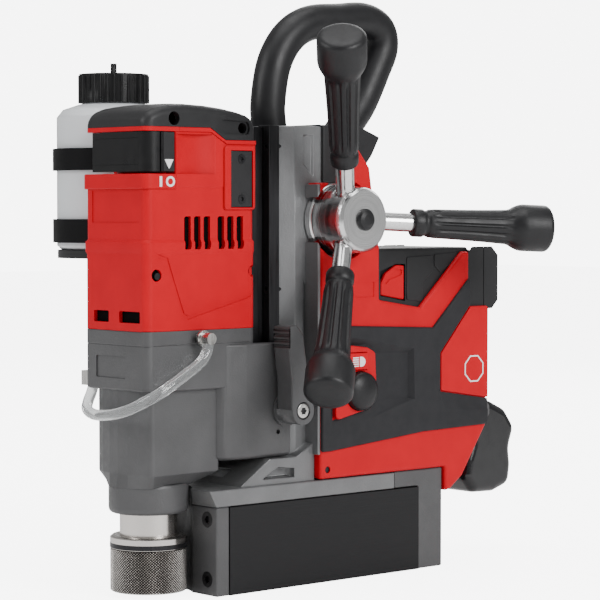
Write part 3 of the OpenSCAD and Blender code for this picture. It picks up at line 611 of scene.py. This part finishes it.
def make_motor_housing():
    """Both shells: a banded body, a rim under the switch ring and a concave recess behind it."""
    heights = [(MOTOR_Z0, -0.5), (MOTOR_Z0 + 0.5, 0), (209.8, 0), (211.4, 0.7), (217.2, 0.7), (218.8, -0.4),
               (LEDGE, -0.4)]
    base = loft([(z, filleted(motor_outline(g), 5, 6)) for z, g in heights], "z")
    rear = [(-121.4, 250), (-121.4, 284.6), (-93.2, 284.6), (-81.1, 277.5), (MOTOR_BACK, 277.5), (MOTOR_BACK, 250)]
    lip = [(-118, 284.4), (-118, 287.0), (-94, 287.0), (-82, 279.8), (MOTOR_BACK, 279.8), (MOTOR_BACK, 277.3),
           (-80.9, 277.3), (-93.1, 284.4)]
    rim = [(-MOTOR_HW - 1.1, -145.2), (MOTOR_HW + 1.1, -145.2), (MOTOR_HW + 1.1, -119), (-MOTOR_HW - 1.1, -119)]
    plate = [(-84, 237), (-84, 276.4), (-59.4, 276.4), (-59.4, 237)]
    adds = [soft_prism(rim, 249.6, LEDGE, "z", (0.8, 0.8), 5.5),
            soft_prism(rear, -MOTOR_HW, MOTOR_HW, "x", (1.6, 1.6), 0.4),
            prism(filleted([(-31.1, -143.6, 5), (31.1, -143.6, 5), (31.1, -93.6, 0.2), (-31.1, -93.6, 0.2)], 5),
                  284.4, 287.1, "z"),
            soft_prism(lip, -MOTOR_HW + 0.1, MOTOR_HW - 0.1, "x", (0.3, 0.3), 0.2),
            rod("z", (0, MOTOR_Y), 23.9, 250, 284.6, 64)]
    for s in (1, -1):
        x = sorted((s * (MOTOR_HW - 1), s * (MOTOR_HW + 1.5)))
        adds.append(soft_prism(plate, x[0], x[1], "x", (0.9, 0.9), 2.2))
    cavity = prism(filleted([(-29, -141.5), (29, -141.5), (29, -60.1), (-29, -60.1)], 2.5), MOTOR_Z0 - 1, 248, "z")
    cuts = [cavity, box(-23, 24, -146, MOTOR_FRONT + 0.9, 229.2, 248.6)]
    for x0, x1 in ((-21, -6), (4.5, 25)):
        cuts.append(soft_prism([(x0, 168.6), (x1, 168.6), (x1, 175.6), (x0, 175.6)], -150, -135, "y", (0, 0), 0.8))
    for s in (1, -1):
        x = sorted((s * 27, s * 40))
        skin = sorted((s * (MOTOR_HW - 0.55), s * (MOTOR_HW + 2)))
        cuts.append(prism(outline_of((s * 60.5, -105.3, 33, 33), 96), LEDGE - 0.1, 283, "z"))
        cuts += [prism([(y, 213), (y, 232), (y + 1, 233), (y + 5, 233), (y + 5, 215), (y + 4, 213)], *x)
                 for y in VENT_STARTS]
        cuts += [rod("x", p, 3.7, *x) for p in ((-136.2, 197.6), (-60.5, 199))]
        cuts.append(box(*sorted((s * (MOTOR_HW - 0.6), s * 40)), -79.2, -61.6, 238.4, 273.6))
        cuts += [rod("x", (-70.3, z), 1.8, *x) for z in (243.6, 268.4)]
        cuts += ribbon([(-134, 209), (-128.5, 207), (-116, 173.5), (-112, 171.5), (-66, 183), (-57, 187)], 2.2,
                       *skin)
    for name, x0, x1 in (("left", -60, 0.013), ("right", 0.013, 60)):
        build(f"motor_shell_{name}", base, f"motor_housing_{name}", "carriage", M["red"], cuts, adds,
              [box(x0, x1, -160, -40, 150, 300)])
    # A near-black sheet inside the motor cavity is painted shade: it makes the vents and openings look dark inside.
    shade_sheet = prism(filleted([(-28.9, -141.4), (28.9, -141.4), (28.9, -60.2), (-28.9, -60.2)], 2.5), 164, 236, "z")
    hollow = prism(filleted([(-28, -140.5), (28, -140.5), (28, -61), (-28, -61)], 2.5), 163, 237, "z")
    build("motor_shade_liner", shade_sheet, "motor_housing_left", "carriage", M["painted_shade_black"], [hollow], replaces=[])


make_motor_housing()


CAP_SECTIONS = [(-143.7, 287.2, 290.0, 26.3), (-143.3, 287.2, 291.8, 27.8), (-142.2, 287.2, 293.6, 29.4),
                (-140.4, 287.2, 295.5, 30.7), (-138, 287.2, 297.0, 31.4), (-132, 287.2, 299.2, 31.5),
                (-124, 287.2, 300.6, 31.5), (-112, 287.2, 301.4, 31.5), (-98, 287.2, 300.9, 31.5),
                (-94, 287.2, 300.6, 31.5), (-82, 280.0, 299.4, 31.5), (-70, 280.0, 297.4, 31.5),
                (-63, 280.0, 295.6, 31.5), (-60, 280.0, 294.0, 31.1), (-58.4, 280.0, 292.0, 30.2),
                (-57.6, 280.0, 289.6, 28.6)]


def make_top_cap():
    """A domed cap with a lamp hole and a long side pocket on each flank."""
    loops = []
    for y, low, high, half in CAP_SECTIONS:
        r = min(6.0, (high - low) * 0.8)
        arc = [(half - r + r * math.cos(t), high - r + r * math.sin(t))
               for t in (math.pi / 2 * k / 8 for k in range(9))]
        crown = [(x, high + 0.8 * (1 - (x / (half - r)) ** 2)) for x in (15, 8, 0, -8, -15)]
        loops.append((y, [(-half, low), (half, low)] + arc + crown + [(-a, b) for a, b in reversed(arc)]))
    cuts = [prism([(-136, 280), (-136, 290), (-126, 296), (-67, 292.5), (-62, 288), (-62, 270)], -27, 27)]
    pocket = filleted([(-91.5, 286.2), (-82.5, 283.4), (-64, 283.4), (-62.6, 287), (-64, 291.4), (-84, 292.4)], 1.6)
    for s in (1, -1):
        cuts.append(rod("x", (-122.5, 292.2), 4.2, *sorted((s * 20, s * 40))))
        cuts.append(prism(pocket, *sorted((s * (MOTOR_HW - 1.7), s * 40))))
        cuts.append(rod("x", (-67.4, 287.4), 3.4, *sorted((s * 24, s * 40))))
    build("top_cap_dome", loft(loops, "y"), "top_cap", "carriage", M["dark_shell"], cuts)


make_top_cap()


def make_switch_ring():
    """The turning black band with its pointer strip and white marks."""
    x1 = MOTOR_HW - 0.1
    outer = filleted([(-22.5, -143.9, 0.6), (x1, -143.9, 9), (x1, -122.2, 0.6), (x1 - 4.4, -122.2, 0.6),
                      (x1 - 4.4, -139.4, 5), (-22.5, -139.4, 0.6)], 1, 8)
    base = loft([(260.1, outer), (284.0, outer)], "z")
    spoke = prism([(-16, -137.2), (-14.5, -140.5), (27, -140.5), (27, -134), (18.5, -128.6)], 268, 276, "z")
    groove = box(x1 - 0.9, x1 + 2, -133.6, -132.4, 259, 286)
    strip_seat = box(x1 - 0.5, x1 + 2, -130.9, -121, 259, 286)
    ribs = [box(-30, x1 + 2, -146, -143.55, z, z + 0.5) for z in (264, 280)]
    ring = rod("z", (0, MOTOR_Y), 24.1, 250, 290, 96)
    build("switch_ring_band", base, "switch_ring", "power_switch", M["black_plastic"],
          [groove, strip_seat, *ribs, ring], [spoke])
    strip = soft_prism([(-130.7, 260.3), (-122.4, 260.3), (-122.4, 283.8), (-130.7, 283.8)], x1 - 0.5, x1 + 0.15,
                       "x", (0, 0.15), 0.4)
    build("pointer_strip", strip, "switch_ring", "power_switch", M["dark_shell"], replaces=[])
    mark("pointer_mark", filleted([(-130, 267.5), (-123.2, 267.5), (-126.6, 261.6)], 0.3, 2), x1 + 0.15, x1 + 0.35,
         "power_switch", "switch_ring")


def mark(name, outline, low, high, body, node, axis="x", holes=()):
    """A thin printed white mark."""
    build(name, prism(outline, low, high, axis), node, body, M["white_mark"], holes, replaces=[])


make_switch_ring()
mark("mark_on", filleted([(-134.6, 250.9), (-132.8, 250.9), (-132.8, 257.2), (-134.6, 257.2)], 0.3, 2),
     MOTOR_HW + 1.0, MOTOR_HW + 1.3, "carriage", "motor_housing_right")
mark("mark_off", outline_of((-126.4, 254.1, 3.4, 3.2)), MOTOR_HW + 1.0, MOTOR_HW + 1.3, "carriage",
     "motor_housing_right", holes=[prism(outline_of((-126.4, 254.1, 2.0, 1.9)), 30, 36)])


# ---- rear housing, its panels and the battery ----

HOUSING = [(-14, 66.2), (-14, 254), (15, 254), (15, 277), (18, 277), (29, 264), (31, 251), (37.6, 212),
           (37.6, 178.7), (74.3, 173), (113.5, 209), (119.9, 209), (119.9, 173), (135, 172.6), (136.8, 170.5),
           (136.8, 92.4), (114, 59), (103, 51), (97.6, 50), (97.6, 66.2)]
BAY = [(-11, 69), (-11, 144.5), (133.8, 144.5), (133.8, 93.5), (112.4, 62), (101, 54.5), (100, 69)]
OVERMOULD = [(-13.9, 83.6), (-6.9, 83.6), (76.3, 91.1), (136.6, 92.6), (136.6, 109.9), (91.3, 116.8),
             (91.3, 142.2), (119.2, 173.1), (119.9, 192.6), (85, 159.5), (-13.9, 164)]
SCOOP_RIM = [(-1.3, 93.7), (66.8, 112.5), (66.0, 147.0), (39.0, 151.6), (10.0, 155.2), (-8, 152), (-8, 100)]
SCOOP_FLOOR = [(0, 103.5), (32, 112.6), (63.5, 114), (63.5, 143.6), (36.0, 144.6), (26, 150.4), (-6, 150.4),
               (-6, 104)]
LAMP_PLATE = [(-3, 103), (-3, 150.4), (10.6, 150.4), (24.6, 148.6), (31.3, 145.4), (32.8, 114.7), (27, 109.4)]
STOP_PLATE = [(119.6, 172.4), (135.4, 172.4), (136.4, 170.5), (136.4, 110.5), (91.9, 117.4), (91.9, 141.9)]


def flip(shape):
    """The same verts and faces on the other side of X = 0."""
    verts, faces = shape
    return [(-x, y, z) for x, y, z in verts], [f[::-1] for f in faces]


def make_rear_housing():
    body = soft_prism(HOUSING, -HOUSING_FACE, HOUSING_FACE, "x", (2.2, 2.2), 1.6, steps=5)
    cuts = [prism(BAY, -40, 40), box(-31.1, 31.1, -20, 22.1, 60, 300), box(-40.2, 40.2, 26, 200, 147.5, 214),
            box(-8, 8, 130, 140, 87, 103), box(-26.1, 26.1, 20, 28, 149.9, 172.1),
            box(-40.1, 40.1, -20, 53.4, 60, 66.6)]
    for s in (1, -1):
        cuts.append(box(*sorted((s * 31, s * 40)), -11, 22.1, 69, 248))
        cuts += [rod("x", (-8, z), 2.2, *sorted((s * 35, s * 50))) for z in (72, 240)]
    right = [rod("x", FEED, 26, 30, 60, 64), rod("x", BUTTON, 12.9, 30, 60, 48),
             box(30, 60, LAMP[0] - 8.4, LAMP[0] + 8.4, LAMP[1] - 5.9, LAMP[1] + 5.9),
             prism(SCOOP_RIM, 41.8, 60), soft_prism([(15.5, 180.8), (32.3, 180.8), (32.3, 190.6), (15.5, 190.6)],
                                                    HOUSING_FACE - 0.4, 60, "x", (0, 0), 0.8)]
    for name, x0, x1, more in (("left", -60, 0.013, []), ("right", 0.013, 60, right)):
        build(f"rear_shell_{name}", body, f"housing_{name}", "stand", M["red"], cuts + more, (),
              [box(x0, x1, -30, 160, 40, 300)])


def make_overmoulds():
    """Thick rubber panels; the right one has a scoop round the lamp switch and the motor button."""
    soft = soft_prism(OVERMOULD, HOUSING_FACE, OVERMOULD_FACE + 0.5, "x", (0, 1.5), 1.4, steps=5)
    base = prism(SCOOP_RIM, 41.8, HOUSING_FACE + 0.1)
    mouth = [(-6, 93.8), (30, 103.2), (67.4, 113), (66.2, 146.8), (39.0, 151.2), (12, 155.4), (-7, 155.4), (-7, 95)]
    scoop = loft([(42.0, SCOOP_FLOOR), (OVERMOULD_FACE + 0.7, mouth)], "x")
    ledge = loft([(HOUSING_FACE + 0.7, [(94, 111.2), (136.8, 103.2), (136.8, 109.2), (93, 115.8)]),
                  (OVERMOULD_FACE + 0.7, [(95, 104.2), (138, 100.2), (138, 110.2), (88, 118.8)])], "x")
    behind = prism(LAMP_PLATE, 30, 43.2)
    build("overmould_right", soft, "side_overmoulds", "stand", M["overmould"], [scoop, ledge, behind], [base])
    build("overmould_left", flip(soft), "side_overmoulds", "stand", M["overmould"], [flip(ledge)], replaces=[])


def make_side_panels():
    lamp = soft_prism(LAMP_PLATE, 42.0, HOUSING_FACE + 2.6, "x", (0, 0.9), 3.0)
    build("lamp_plate", lamp, "lamp_panel", "stand", M["red"], [
        rod("x", BUTTON, 12.9, 30, 60, 48),
        box(30, 60, LAMP[0] - 8.4, LAMP[0] + 8.4, LAMP[1] - 5.9, LAMP[1] + 5.9)])
    stop = soft_prism(STOP_PLATE, HOUSING_FACE - 0.5, HOUSING_FACE + 1.8, "x", (0, 0.9), 1.2)
    build("stop_plate_right", stop, "stop_panels", "stand", M["red"])
    build("stop_plate_left", flip(stop), "stop_panels", "stand", M["red"], replaces=[])
    octagon = [(122.6 + 9.6 * math.cos(math.radians(22.5 + 45 * k)),
                130.6 + 9.6 * math.sin(math.radians(22.5 + 45 * k))) for k in range(8)]
    for s, name in ((1, "right"), (-1, "left")):
        x = sorted((s * (HOUSING_FACE + 1.7), s * (HOUSING_FACE + 2.0)))
        mark(f"stop_mark_{name}", octagon, x[0], x[1], "stand", "stop_panels",
             holes=[prism(inset(octagon, 0.9), x[0] - 1, x[1] + 1)])


def make_lamp_icon():
    """A white lamp sign on the lamp switch: a half disc and five rays."""
    face = max((frame["nodes"]["lamp_button"].matrix_world @ v.co).x for v in
               frame["nodes"]["lamp_button"].data.vertices) / MM
    lens = [(16.4, 136.6)] + [(17.6 + 3.6 * math.sin(t), 139.8 - 3.2 * math.cos(t))
                              for t in (math.pi * k / 12 for k in range(13))] + [(16.4, 143.0)]
    mark("lamp_icon_lens", lens, face - 0.05, face + 0.2, "lamp_button", "lamp_button")
    for k in range(5):
        z = 136.7 + 1.35 * k
        mark(f"lamp_icon_ray_{k}", [(10.4, z), (15.4, z), (15.4, z + 0.75), (10.4, z + 0.75)],
             face - 0.05, face + 0.2, "lamp_button", "lamp_button")


def make_battery():
    """A pack with a stepped top and a chamfered end box that closes the bay."""
    case = soft_prism([(27, 148), (27, 208), (31, 212), (121, 212), (123.4, 209.6), (123.4, 172), (136, 170),
                       (136, 148)], -39.5, 39.5, "x", (1.8, 1.8), 1.2)
    end = [(121.2, 173.0), (121.2, 207.0), (123.6, 209.6), (140.6, 209.6), (145, 205.3), (145, 177), (141, 173.0)]
    box_end = loft([(-42.5, inset(end, 2.6)), (-40, end), (40, end), (42.5, inset(end, 2.6))], "x")
    seam = [box(-50, 50, 133.6, 134.2, 170, 212)]
    cuts = []
    adds = [box_end]
    for s in (1, -1):
        cuts.append(prism([(41, 181), (63.4, 177.2), (63.4, 201.4), (55, 201.8), (41, 197)],
                          *sorted((s * 35.4, s * 50))))
        for block in ([(64.6, 178), (79, 176.4), (79, 189), (88, 196), (88, 207), (64.6, 206)],
                      [(90, 200), (96, 195), (112, 205), (111, 208.6), (90, 207.6)]):
            shape = soft_prism(block, 38.5, 40.15, "x", (0, 0.5), 1.5)
            adds.append(shape if s > 0 else flip(shape))
    build("battery_pack", case, "battery_case", "battery", M["dark_shell"], cuts + seam, adds)
    tab = filleted([(42, 181.6, 1), (62.6, 178.2, 1), (62.6, 200.6, 1), (55.5, 201.0, 4), (46, 195.5, 8),
                    (42, 189, 4)], 1, 5)
    lip = filleted([(44.6, 187), (50, 191.6), (60.4, 194.4), (60.4, 198), (55, 198.4), (46.4, 192.6)], 1.2, 5)
    for s, name in ((1, "right"), (-1, "left")):
        shape = loft([(37.2, tab), (38.9, tab), (39.4, inset(tab, 0.5))], "x")
        dent = prism(lip, 38.8, 45)
        build(f"release_tab_{name}", shape if s > 0 else flip(shape), f"battery_latch_{name}",
              f"battery_latch_{name}", M["red"], [dent if s > 0 else flip(dent)])


def make_magnet_lever():
    """The glossy rear lever: a thick curved paddle, open behind."""
    side_view = [(142, 97, 4), (146.6, 80, 14), (141, 66, 12), (138.6, 53, 8), (147, 42.6, 8), (168, 42, 8),
                 (183, 46.6, 8), (185, 60, 16), (183.4, 72, 16), (188.6, 86, 9), (179, 98.6, 10), (164, 105.4, 8),
                 (149, 106, 5)]
    body = soft_prism(side_view, -22, 22, "x", (6, 6), 6, steps=8)
    build("magnet_lever_paddle", body, "magnet_lever", NODE_BODY["magnet_lever"], M["gloss_black"],
          [rod("x", (148, 100), 16, -6.4, 6.4, 48)]
          + [rod("x", (148, 100), 4.05, *sorted((s * 5, s * 24))) for s in (1, -1)], crease=40)


make_rear_housing()
make_overmoulds()
make_side_panels()
make_lamp_icon()
make_battery()
make_magnet_lever()


# ---- gearcase ----

NOSE_R = 75.4
NOSE_CY = SPINDLE_Y + 51.8


def make_gearcase():
    """A curved nose over a round collar, a square upper band and a tail that slides on the column."""
    arc = [(x, NOSE_CY - math.sqrt(NOSE_R ** 2 - x * x)) for x in (-27, -18, -9, 0, 9, 18, 27)]
    arc = [(*p, 4.0) if abs(p[0]) == 27 else p for p in arc]
    nose = filleted(arc + [(27, -83.6), (-27, -83.6)], 2)
    round_base = []
    for a, b in nose:
        reach = 24.9 / math.hypot(a, b - SPINDLE_Y)
        round_base.append((a * reach, SPINDLE_Y + (b - SPINDLE_Y) * reach))
    base = loft([(z, [(p[0] + (q[0] - p[0]) * t, p[1] + (q[1] - p[1]) * t) for p, q in zip(nose, round_base)])
                 for z, t in ((67.4, 1.0), (67.8, 0.95), (75.4, 0.06), (76.4, 0), (130, 0))], "z")
    collar = loft([(z, outline_of((0, SPINDLE_Y, r, r), 72)) for z, r in
                   ((51, 22.4), (51.5, 23.4), (52.4, 24.2), (53.6, 24.6), (55, 24.7), (67, 24.7), (69, 23.4))], "z")
    band = loft([(z, filleted(motor_outline(g), 5, 6)) for z, g in
                 ((127.1, -1.4), (127.5, -0.5), (128.5, 0), (154.2, 0), (154.9, -0.4))], "z")
    plan = ccw([(34.5, -31.7), (34.5, -68, 9), (31.45, -88, 12), (-31.45, -88, 12), (-34.5, -68, 9),
                (-34.5, -31.7)])
    tail = loft([(z, shrunk(plan, d, 1.2)) for z, d in
                 ((82, 2.6), (82.4, 1.6), (83.4, 0.6), (85, 0), (152.4, 0), (153.4, 0.5), (154, 1.4))], "z")
    cuts = [rod("z", (0, SPINDLE_Y), r, low, high, 64) for r, low, high in
            ((18.6, 50, 70), (17.5, 69, 83), (13, 80, 130), (16, 112.5, 129), (20.7, 128.5, 156))]
    cuts += [box(-28.6, 28.6, -57, -30, 80, 156), box(-28.6, 28.6, -57.7, -56, 150, 156),
             soft_prism([(-19, 134.6), (10.5, 134.6), (10.5, 148), (-19, 148)], -150, -143.1, "y", (0, 0), 1.0),
             rod("x", (-42.2, 97.8), 1.5, 30, 40)]
    cuts += [rod("x", (-36.5, 111.7), 3.1, *sorted((s * 27, s * 40))) for s in (1, -1)]
    cuts += [rod("y", (x, z), 2.6, -70, -56) for x in (-14, 14) for z in (96, 140)]
    build("gearcase_casting", base, "gearcase", "carriage", M["casting"], cuts, [collar, band, tail], crease=40)


make_gearcase()


def make_column_cheeks():
    """Cast edges that cover the front of the rear housing on both sides of the column."""
    for s, name in ((1, "right"), (-1, "left")):
        x = sorted((s * 29, s * 42.8))
        shape = soft_prism([(-16.2, 82), (-14.05, 82), (-14.05, 253), (-16.2, 253)], x[0], x[1], "x",
                           (0.5, 0.5), 0.5)
        build(f"column_cheek_{name}", shape, "column", "stand", M["column"], [rod("x", FEED, 26, 25, 60, 64)],
              replaces=[])


make_column_cheeks()


def make_lock_screw():
    """The star-socket screw in the lock lever's boss."""
    head = loft([(x, outline_of((-36.5, 111.7, r, r), 40)) for x, r in
                 ((49.6, 4.9), (51.0, 4.9), (51.8, 4.4), (52.2, 3.4))], "x")
    star = [(-36.5 + r * math.cos(math.pi * k / 6), 111.7 + r * math.sin(math.pi * k / 6))
            for k, r in enumerate((2.6, 1.9) * 6)]
    build("lock_screw_head", head, "carriage_screws", "carriage", M["steel"], [prism(star, 50.4, 56)], replaces=[])


make_lock_screw()
for node, width in (
        ("gearcase_cover", 1.0), ("column", 0.9), ("tower_cap", 1.2), ("magnet_housing", 1.2),
        ("lever_bracket", 1.0), ("lock_lever", 1.6), ("motor_side_plate", 0.5), ("slide_plate", 0.6),
        ("guide_rails", 0.4), ("lamp_button", 0.8), ("motor_button", 0.5), ("feed_hub", 0.5),
        ("bottle_cap", 0.5), ("coolant_bottle", 1.2), ("bottle_holder", 0.5), ("bottle_valve", 0.5),
        ("valve_tap", 0.4), ("hose_fittings", 0.5), ("chuck_body", 0.4), ("side_plates", 0.3)):
    refined(node, width)


# ---- chuck sleeve with a diamond knurl ----

def make_chuck_sleeve():
    rows = 30
    columns = 156
    first = 3
    low, high = 3.4, 28.3
    knurl = [(CHUCK_R, low + (high - low) * j / rows) for j in range(rows + 1)]
    profile = [(19.76, 2.5), (CHUCK_R - 1.0, 2.5), (CHUCK_R - 0.4, 2.9)] + knurl
    profile += [(CHUCK_R - 0.5, 28.7), (CHUCK_R - 0.9, 29.0), (19.76, 29.0)]

    def radius_at(k, j, r, h):
        return r - KNURL_DEPTH if first <= j <= first + rows and (k + j) % 2 else r

    verts, faces = revolve(profile, columns, lambda x, y, z: (x, SPINDLE_Y + y, z), radius_at)
    n = len(profile)
    split = []
    for i, (a, b, c, d) in enumerate(faces):
        k, j = divmod(i, n)
        if first <= j < first + rows:
            split += [(a, b, c), (a, c, d)] if (k + j) % 2 else [(a, b, d), (b, c, d)]
        else:
            split.append((a, b, c, d))
    piece("chuck_sleeve_knurled", mesh_from("chuck_sleeve_knurled", verts, split), "chuck_sleeve", M["knurl"],
          ["chuck_sleeve"])


make_chuck_sleeve()
build("chuck_dark_band", loft([(z, outline_of((0, SPINDLE_Y, r, r), 96)) for z, r in
                               ((29.3, 23.4), (29.6, 23.95), (32.4, 23.95), (32.7, 23.6))], "z"),
      "chuck_body", "spindle", M["oxide"], [rod("z", (0, SPINDLE_Y), 22, 20, 40, 64)], replaces=[])


# ---- feed grips and rods ----

def spoke_matrix(k):
    turn = Matrix.Rotation(math.radians(SPOKE_TURN + 120 * k), 4, "X")
    lean = Matrix.Rotation(math.radians(SPOKE_LEAN), 4, "Y")
    return Matrix.Translation((SPOKE_X, *FEED)) @ turn @ lean


def make_grips():
    flutes = 12
    sides = flutes * 8
    stations = [(6.05, 44.0), (8.0, 44.0), (8.7, 44.4), (9.0, 45.2), (9.0, 50.6), (8.7, 51.4), (8.2, 52.2),
                (8.2, 53.8), (8.7, 54.6), (9.0, 55.4), (9.1, 57.2)]
    body = [(9.4 + 1.9 * t / 12 - 0.25 * math.sin(math.pi * t / 12), 59 + 50 * t / 12) for t in range(13)]
    knob = [(11.9, 111.2), (13.2, 113.4), (14.2, 115.6), (14.9, 117.6), (15.25, 119.8), (15.25, 134.4),
            (15.0, 135.8), (14.3, 136.9), (13.2, 137.7), (11.6, 138.2), (9.6, 138.45), (6.0, 138.5), (0.02, 138.5),
            (0.02, 126.7), (6.05, 126.7)]
    profile = stations + body + knob
    first, last = len(stations), len(stations) + len(body) - 1

    def radius_at(k, j, r, h):
        if not first - 1 <= j <= last + 1:
            return r
        ends = min(1.0, (j - first + 1) / 2, (last + 1 - j) / 2)
        groove = max(0.0, math.cos(2 * math.pi * flutes * k / sides))
        return r - 1.3 * max(0.0, ends) * groove ** 0.7

    for k in range(3):
        m = spoke_matrix(k)
        verts, faces = revolve(profile, sides, lambda x, y, z: tuple(m @ Vector((x, y, z))), radius_at)
        mesh = mesh_from(f"feed_grip_{k}", verts, faces, smooth=True)
        mesh.set_sharp_from_angle(angle=math.radians(50))
        piece(f"feed_grip_{k}", mesh, "feed", M["rubber"], ["feed_grips"])


make_grips()


# ---- carry handle ----

HANDLE_ROUTE = [(0, -20, 290), (0, -21, 305), (0, -16, 330), (0, -4, 348), (0, 14, 358), (0, 40, 361),
                (0, 62, 362.6), (0, 76, 357), (0, 79, 345), (0, 72, 330), (0, 59, 307), (0, 45, 291), (0, 36, 281)]


def make_carry_handle():
    path = catmull(HANDLE_ROUTE, 9)
    verts, faces = sweep(path, (11.4, 11.2), 40, (1, 0, 0))
    piece("carry_handle_grip", mesh_from("carry_handle_grip", verts, faces, smooth=True), "stand", M["rubber"],
          ["carry_handle"])


make_carry_handle()


# ---- floor and lights ----

# Strength that lights the object, and strength that the camera sees behind it.
FLOOR_GLOW = (0.15, 6.0)
STUDIO_GLOW = (0.42, 7.0)


def glow(tree, levels, socket):
    """A backdrop strength: levels = (as a light, as seen)."""
    span = tree.nodes.new("ShaderNodeMapRange")
    span.inputs["To Min"].default_value, span.inputs["To Max"].default_value = levels
    tree.links.new(tree.nodes.new("ShaderNodeLightPath").outputs["Is Camera Ray"], span.inputs["Value"])
    tree.links.new(span.outputs["Result"], socket)


def make_stage():
    mesh = mesh_from("floor", [(-6000, -6000, -0.5), (6000, -6000, -0.5), (6000, 6000, -0.5), (-6000, 6000, -0.5)],
                     [(0, 1, 2, 3)])
    floor = bpy.data.objects.new("floor", mesh)
    bpy.context.collection.objects.link(floor)
    floor_shader = Shader("pale_floor", 0.8)
    floor_shader.colour((0.93, 0.93, 0.93), (0.95, 0.95, 0.95), floor_shader.noise(3))
    floor_shader.body.inputs["Emission Color"].default_value = (1, 1, 1, 1)
    glow(floor_shader.tree, FLOOR_GLOW, floor_shader.body.inputs["Emission Strength"])
    mesh.materials.append(floor_shader.material)
    world = bpy.data.worlds.new("studio")
    world.use_nodes = True
    sky = world.node_tree.nodes["Background"]
    sky.inputs["Color"].default_value = (1, 1, 1, 1)
    glow(world.node_tree, STUDIO_GLOW, sky.inputs["Strength"])
    bpy.context.scene.world = world
    lights = (("key", (-0.5, -1.7, 1.2), 0.9, 17), ("side", (1.8, 0.1, 1.0), 0.9, 33),
              ("back", (-1.0, 1.3, 1.1), 1.0, 10), ("top", (0.1, -0.1, 1.8), 1.2, 16))
    for name, place, size, watts in lights:
        data = bpy.data.lights.new(name, "AREA")
        data.shape = "SQUARE"
        data.size = size
        data.energy = watts
        lamp = bpy.data.objects.new(name, data)
        bpy.context.collection.objects.link(lamp)
        lamp.location = place
        lamp.rotation_euler = (Vector((0, -0.02, 0.17)) - Vector(place)).to_track_quat("-Z", "Y").to_euler()


make_stage()
